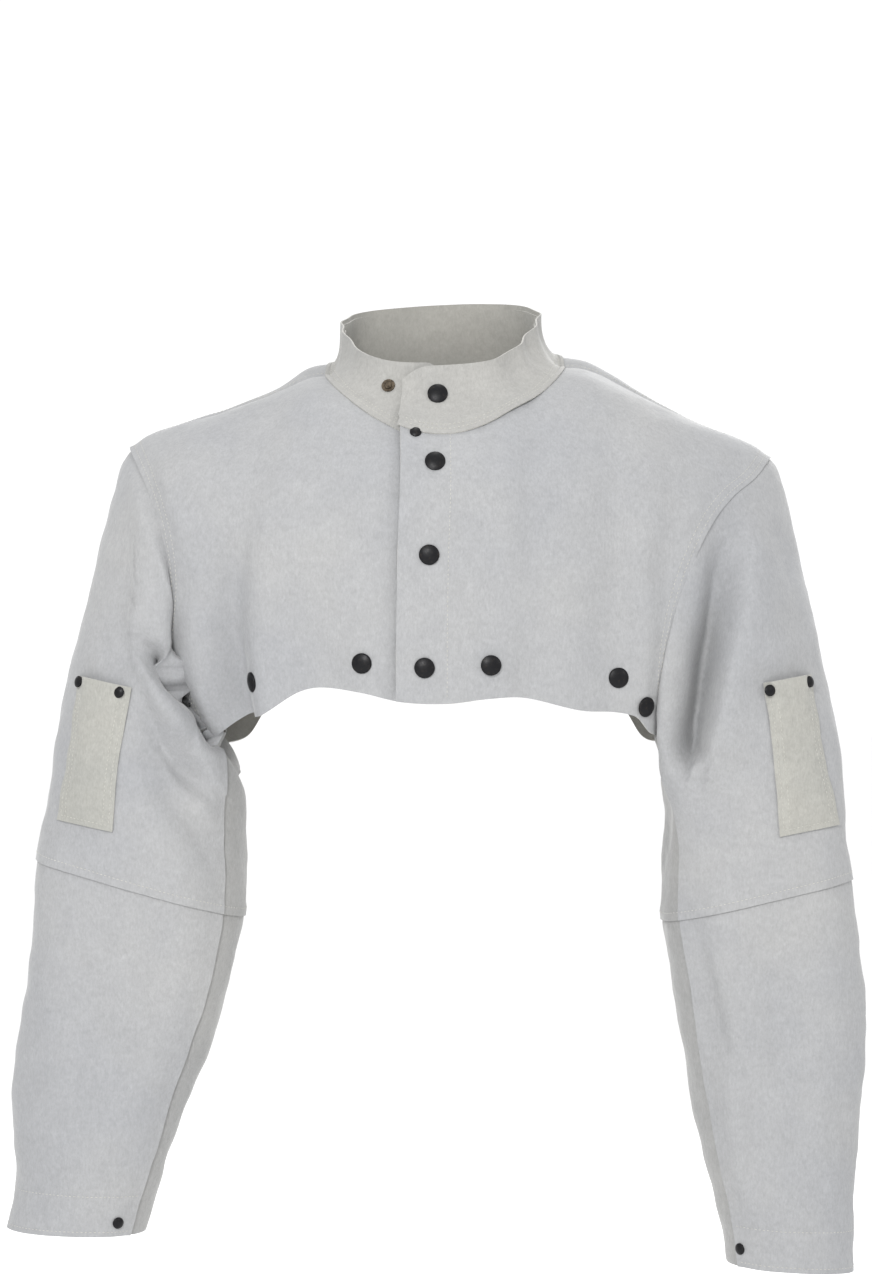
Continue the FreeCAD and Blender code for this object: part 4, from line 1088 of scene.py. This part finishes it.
def sleeve_normal(side, s, theta):
    step = 2e-3
    ds = sleeve_form(side, s + step, theta) - sleeve_form(side, s - step, theta)
    dt = sleeve_form(side, s, theta + step) - sleeve_form(side, s, theta - step)
    normal = unit(np.cross(ds, dt))
    centre = sleeve_form(side, s, np.zeros_like(theta))
    centre = (centre + sleeve_form(side, s, np.full_like(theta, math.pi))) / 2
    away = np.sum(normal * (sleeve_form(side, s, theta) - centre), -1, keepdims=True)
    return normal * np.sign(away)


SLEEVE_WAVES = [(0.9, 60, 22), (0.35, 20, 23), (0.12, 9, 24)]
LONG_WAVES = {"left": [(1.5, 42, 21)], "right": [(1.5, 42, 31)]}
SLEEVE_FOLDS = {
    "right": [
        ([(-246, -72, 0.2), (-239, -120, 0.8), (-240, -166, 1), (-245, -215, 1), (-231, -262, 1),
          (-208, -300, 0.9), (-186, -327, 0.3)], 9.5, 16, 5),
        ([(-238, -222, 0.3), (-224, -238, 0.8), (-205, -257, 1), (-190, -278, 1),
          (-184, -292, 0.6)], -35, 6, 5.5),
        ([(-242, -252, 0.2), (-222, -292, 1), (-194, -330, 0.6)], -10, 6, 8),
        ([(-243, -285, 0.2), (-224, -322, 1), (-192, -378, 0.6)], -8.5, 8, 11),
        ([(-238, -248, 0.2), (-215, -277, 1), (-192, -305, 0.5)], 5, 7, 6),
        ([(-218, -306, 0.4), (-206, -319, 1), (-196, -328, 0.2)], -4, 7, 6),
        ([(-300, -180, 0.3), (-282, -235, 1), (-250, -300, 0.2)], 2.5, 16, 18),
        ([(-205, -350, 0.2), (-212, -400, 1), (-205, -440, 0.3)], 3, 12, 15),
        ([(-230, -440, 0.3), (-238, -520, 1), (-268, -620, 0.3)], -4, 12, 15),
        ([(-300, -410, 0.3), (-312, -480, 1), (-318, -580, 0.3)], 2.2, 12, 18),
        ([(-275, -470, 0.2), (-292, -560, 1), (-310, -650, 0.2)], -2.4, 15, 15),
    ],
    "left": [
        ([(228, -135, 0.1), (222, -182, 0.6), (209, -243, 1), (197, -302, 1)], -38, 5, 11),
        ([(242, -135, 0.3), (234, -188, 1), (222, -247, 1), (210, -306, 0.7)], 9, 20, 5),
        ([(196, -236, 0.2), (194, -262, 1), (192, -292, 0.6)], 5, 6, 6),
        ([(245, -125, 0.2), (243, -165, 1), (240, -205, 0.3)], 2.6, 9, 9),
        ([(272, -130, 0.3), (275, -152, 1), (277, -172, 0.2)], -3, 7, 6),
        ([(288, -160, 0.3), (295, -200, 1), (300, -250, 0.3)], 2, 10, 10),
        ([(215, -320, 0.3), (222, -365, 1), (240, -410, 0.3)], -3, 14, 14),
        ([(300, -420, 0.3), (306, -500, 1), (298, -600, 0.3)], 2.6, 16, 14),
        ([(255, -440, 0.2), (268, -530, 1), (276, -640, 0.3)], -4, 14, 14),
        ([(197, -436, 0.2), (209, -488, 1), (220, -534, 1), (229, -552, 0.3)], -7, 4, 8),
        ([(224, -540, 0.2), (231, -572, 1), (232, -610, 0.8), (241, -660, 0.2)], 6, 7, 8),
        ([(238, -566, 0.2), (243, -600, 1), (250, -655, 0.2)], -4, 9, 6),
    ],
}
# Folds behind both elbows: x and z of the middle of each, and its height
SLEEVE_BACK_FOLDS = [(205, -330, -5), (225, -300, 4), (210, -430, -5), (240, -455, 4), (215, -480, -3)]


def sleeve_height(side, p, s, theta):
    """How far the leather of a sleeve stands off its form."""
    height = uneven(p * np.array([1, 1, 0.33]), LONG_WAVES[side]) + uneven(p, SLEEVE_WAVES)
    facing = smooth(-np.sin(theta) / 0.45 + 0.1)
    for path, size, left, right in SLEEVE_FOLDS[side]:
        height = height + fold(p, path, size, left, right) * facing
    behind = smooth(np.sin(theta) / 0.5)
    out = SLEEVES[side]["out"]
    for x, z, size in SLEEVE_BACK_FOLDS:
        path = [(out * (x - 30), z + 12, 0.2), (out * x, z, 1), (out * (x + 60), z - 26, 0.2)]
        height = height + fold(p, path, size, 10, 12) * behind
    height = np.where(height > 0, height * smooth(s / 0.03), height * smooth(s / 0.008))
    for spot in SLEEVES[side]["rivets"]:
        height = height * (1 - (1 - near(p, [spot], FASTENER_FLAT)) * facing)
    crease = np.exp(-(((s - ELBOW_SEAM) / 0.012) ** 2))
    return height - 0.7 * crease


def sleeve_surface(side, s, theta, extra):
    """Outer face of a sleeve, with some height added to its folds."""
    form = sleeve_form(side, s, theta)
    height = sleeve_height(side, form, s, theta) + extra
    return form + sleeve_normal(side, s, theta) * height[..., None]


def sleeve_sheet(side, s_range, theta_range, extra):
    """Grid of part of a sleeve. extra gives the added height at each (s, theta)."""
    length = SLEEVE_LENGTH * (s_range[1] - s_range[0])
    girth = SLEEVE_RADIUS * (theta_range[1] - theta_range[0])
    s, theta = np.meshgrid(np.linspace(*s_range, int(length / STEP) + 2),
                           np.linspace(*theta_range, int(girth / STEP) + 2), indexing="ij")
    grid = sleeve_surface(side, s, theta, extra(s, theta))
    middle = (s_range[0] + s_range[1]) / 2
    centre = (sleeve_form(side, middle, 0.0) + sleeve_form(side, middle, math.pi)) / 2
    return grid, outward(grid, centre)


def panel_extra(part, panel):
    """Height added to a panel: the outer one lies over the under one at both inseams."""
    def extra(s, theta):
        if panel == "outer":
            edge = np.minimum(theta - FRONT_INSEAM, BACK_INSEAM - theta)
            height = INSEAM_LAP * smooth(1 - edge / INSEAM_REACH)
        else:
            edge = np.minimum(theta - BACK_INSEAM, 2 * math.pi + FRONT_INSEAM - theta)
            height = -INSEAM_TUCK * smooth(1 - edge / INSEAM_REACH)
        if part == "upper":
            height = height + ELBOW_LAP * smooth((s - (ELBOW_SEAM - ELBOW_LAP_SHARE)) / ELBOW_LAP_SHARE)
            height = height - ARMHOLE_TUCK * smooth(1 - s / ARMHOLE_TUCK_SHARE)
        return height

    return extra


def make_panel(side, part, panel):
    """One panel of a sleeve: the outer or the under one of its upper or lower part."""
    sheet = sleeve_sheet(side, SLEEVE_PARTS[part], SLEEVE_PANELS[panel], panel_extra(part, panel))
    name = side + "_" + part + "_sleeve"
    if part == "upper":
        way, nodes = ("shoulder", side), [name + "_" + panel]
    else:
        way, nodes = ("elbow", side), [side + "_elbow_fold_" + panel, name + "_" + panel]
    if panel == "outer":
        leather_piece(name, sheet, way, nodes)
    else:
        # the under panels take the darker leather, painted shade for their side turned away from the light
        leather_piece(name + "_underside", sheet, way, nodes, PAINTED_SHADE_UNDERARM_LOOKS)
    return sheet


def make_sleeve(side):
    sheets = {}
    for part in SLEEVE_PARTS:
        for panel in SLEEVE_PANELS:
            sheets[part, panel] = make_panel(side, part, panel)
    rows = stitch_rows(sheets["upper", "outer"], "last_u", [ELBOW_STITCH_ROW], 2, 2)
    rows += stitch_rows(sheets["upper", "under"], "last_u", [ELBOW_STITCH_ROW], 3, 3)
    thread_piece(side + "_upper_sleeve_thread", rows, ("shoulder", side))
    rows = stitch_rows(sheets["lower", "outer"], "last_u", CUFF_STITCH_ROWS, 3, 3)
    thread_piece(side + "_lower_sleeve_thread", rows, ("elbow", side))
    make_cuff(side)
    make_pocket(side)


def make_cuff(side):
    """The facing inside a cuff, open along a narrow gap at the front inseam."""
    def inside(s, theta):
        return np.full(s.shape, -(LEATHER + CUFF_FACING_GAP))

    start = FRONT_INSEAM + 0.02
    turn = (start, start + 2 * math.pi - 0.04)
    sheet = sleeve_sheet(side, (CUFF_BAND_START, CUFF_BAND_END), turn, inside)
    lining_piece(side + "_cuff_facing_strip", sheet, ("ride", side + "_lower_sleeve"), side + "_cuff_facing")


def sleeve_place(side, x, z):
    """Length share and angle of the sleeve's front points seen at x, z."""
    s = np.full(x.shape, 0.35)
    theta = np.full(x.shape, -math.pi / 2)
    step = 1e-4
    for _ in range(25):
        here = sleeve_form(side, s, theta)
        ds = (sleeve_form(side, s + step, theta) - here) / step
        dt = (sleeve_form(side, s, theta + step) - here) / step
        det = ds[..., 0] * dt[..., 2] - ds[..., 2] * dt[..., 0]
        rx, rz = x - here[..., 0], z - here[..., 2]
        s = s + np.clip((rx * dt[..., 2] - rz * dt[..., 0]) / det, -0.1, 0.1)
        theta = theta + np.clip((ds[..., 0] * rz - ds[..., 2] * rx) / det, -0.3, 0.3)
        s = np.clip(s, 0.001, 0.999)
    return s, theta


def make_pocket(side):
    """The pocket on an upper sleeve: its mouth stands open and its sides lie flat."""
    top_out, top_in, low_in, low_out = [np.array(p, float) for p in SLEEVES[side]["pocket"]]
    u, v = np.meshgrid(np.linspace(0, 1, POCKET_COLUMNS), np.linspace(0, 1, POCKET_ROWS), indexing="ij")
    side_curve = 1.6 * np.sin(math.pi * v * 1.1) * (0.5 - u) * 2 * -SLEEVES[side]["out"]
    flat = (top_out + (top_in - top_out) * u[..., None]) * (1 - v)[..., None]
    flat = flat + (low_out + (low_in - low_out) * u[..., None]) * v[..., None]
    s, theta = sleeve_place(side, flat[..., 0] + side_curve, flat[..., 1])
    edge = smooth(np.minimum(u, 1 - u) / 0.24)
    mouth = POCKET_MOUTH * np.exp(-(v / 0.22) ** 2) * edge
    belly = POCKET_BELLY * edge * smooth((1 - v) / 0.2)
    ripple = 0.35 * np.sin(v * 26 + 2 * u) * (1 - edge)
    grid = sleeve_surface(side, s, theta, POCKET_LIFT + LEATHER + mouth + belly + ripple)
    behind = grid[POCKET_COLUMNS // 2, POCKET_ROWS // 2] + np.array([0, 60, 0])
    sheet = (grid, outward(grid, behind))
    way = ("shoulder", side)
    leather_piece(side + "_pocket", sheet, way, [side + "_sleeve_pocket"], POCKET_LOOKS)
    rows = stitch_rows(sheet, "first_u", POCKET_SIDE_STITCH_ROWS, 13, 3)
    rows += stitch_rows(sheet, "last_u", POCKET_SIDE_STITCH_ROWS, 13, 3)
    rows += stitch_rows(sheet, "last_v", [POCKET_LOW_STITCH_ROW], 3, 3)
    thread_piece(side + "_pocket_thread", rows, way)


# ---------------------------------------------------------------- fasteners

def paint_fasteners():
    for name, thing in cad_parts.items():
        if thing.hide_render:
            continue
        brass = any(word in name for word in ("stud", "socket", "eyelet", "burr"))
        thing.data.materials.clear()
        thing.data.materials.append(BRASS if brass else ENAMEL)
        for polygon in thing.data.polygons:
            polygon.material_index = 0


def loose_parts(source, name):
    """Copies of the separate solids of a CAD node, each as its own piece."""
    made = bmesh.new()
    made.from_mesh(source.data)
    bmesh.ops.remove_doubles(made, verts=made.verts, dist=1e-6)
    left = set(made.verts)
    groups = []
    while left:
        start = min(left, key=lambda v: v.index)
        group, queue = {start}, [start]
        while queue:
            for edge in queue.pop().link_edges:
                for vert in edge.verts:
                    if vert not in group:
                        group.add(vert)
                        queue.append(vert)
        left -= group
        groups.append(sorted(group, key=lambda v: v.index))
    pieces = []
    for number, group in enumerate(groups):
        place = {v: i for i, v in enumerate(group)}
        faces = [[place[v] for v in face.verts] for face in made.faces if face.verts[0] in place]
        points = [v.co / MM for v in group]
        kind = BRASS if "socket" in name else ENAMEL
        piece = object_from(name + "_" + str(number + 1), points, faces, [kind], [0] * len(faces))
        pieces.append((piece, sum(points, Vector()) / len(points)))
    made.free()
    return pieces


def form_normal(x, z):
    step = 0.5
    slope_x = (front_y(x + step, z) - front_y(x - step, z)) / (2 * step)
    slope_z = (front_y(x, z + step) - front_y(x, z - step)) / (2 * step)
    return Vector((slope_x, -1, slope_z)).normalized()


def settle(piece, centre, grid, normals):
    """Moves a small fastener from the body's plain form onto the leather as it lies in folds."""
    spot = centre.copy()
    for _ in range(6):
        normal = form_normal(spot.x, spot.z)
        spot = Vector((spot.x, float(front_y(spot.x, spot.z)), spot.z))
        height = (centre - spot).dot(normal)
        spot = centre - normal * height
    away = np.hypot(grid[..., 0] - spot.x, grid[..., 2] - spot.z)
    nearest = np.unravel_index(np.argmin(away), away.shape)
    found = Vector(grid[nearest])
    leather_spot = found + Vector((spot.x - grid[nearest][0], 0, spot.z - grid[nearest][2]))
    leather_normal = Vector(normals[away < 6].mean(0)).normalized()
    place = leather_spot + leather_normal * height
    turn = normal.rotation_difference(leather_normal).to_matrix()
    for vertex in piece.data.vertices:
        vertex.co = (turn @ (vertex.co / MM - centre) + place) * MM
    return place


def ride_on_shoulder_leather(piece, centre, side):
    """A small rigid piece near a shoulder: it rides the torso where the shoulder's bend has not begun there,
    else its placement is baked into its mesh.
    """
    direction, start, end = bend_line("shoulder", side)
    share = (centre.dot(direction) - start) / (end - start)
    if share <= 0.001:
        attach(piece, "torso")
        return
    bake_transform(piece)


def make_hem_snaps(fronts):
    for cad_node in ("hem_snap_caps", "hem_snap_sockets"):
        for piece, centre in loose_parts(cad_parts[cad_node], cad_node[:-1]):
            side = "left" if centre.x > 0 else "right"
            place = settle(piece, centre, *fronts[side])
            ride_on_shoulder_leather(piece, place, side)
            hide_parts(cad_node)


# ---------------------------------------------------------------- stage, light and camera

def make_stage():
    size, level = FLOOR_SIZE, cad_bounds[0].z - FLOOR_DROP
    mesh = bpy.data.meshes.new("studio_floor")
    corners = [(-size, -size, level), (size, -size, level), (size, size, level), (-size, size, level)]
    mesh.from_pydata(corners, [], [(0, 1, 2, 3)])
    floor = bpy.data.objects.new("studio_floor", mesh)
    bpy.context.scene.collection.objects.link(floor)
    material, tree, shader = new_material("pale_floor")
    clouds = spread(tree, noise(tree, 2, 2), 0, 1, 0, 1)
    tint = mixed(tree, clouds, (0.93, 0.93, 0.93, 1), (0.95, 0.95, 0.95, 1))
    tree.links.new(tint, shader.inputs["Base Color"])
    shader.inputs["Roughness"].default_value = 1.0
    mesh.materials.append(material)


def area_light(name, place, size, power):
    light = bpy.data.lights.new(name, "AREA")
    light.shape = "DISK"
    light.size = size
    light.energy = power
    lamp = bpy.data.objects.new(name, light)
    lamp.location = place
    lamp.rotation_euler = (Vector(LIGHT_TARGET) - Vector(place)).to_track_quat("-Z", "Y").to_euler()
    bpy.context.scene.collection.objects.link(lamp)


def make_light():
    world = bpy.data.worlds.new("studio")
    bpy.context.scene.world = world
    world.use_nodes = True
    world.node_tree.nodes["Background"].inputs["Color"].default_value = (1, 1, 1, 1)
    world.node_tree.nodes["Background"].inputs["Strength"].default_value = 1.0
    for row in LIGHTS:
        area_light(*row)
    bpy.context.scene.view_settings.view_transform = "Standard"
    bpy.context.scene.view_settings.exposure = EXPOSURE


def make_camera():
    camera = bpy.data.cameras.new("camera")
    camera.sensor_width = 36
    camera.lens = CAMERA_LENS
    seat = bpy.data.objects.new("camera", camera)
    seat.location = CAMERA_PLACE
    seat.rotation_euler = (math.pi / 2, 0, 0)
    bpy.context.scene.collection.objects.link(seat)
    bpy.context.scene.camera = seat


front_faces = make_fronts()
make_back()
make_collar()
for sleeve_side in SLEEVES:
    make_sleeve(sleeve_side)
make_hem_snaps(front_faces)
paint_fasteners()
make_stage()
make_light()
make_camera()
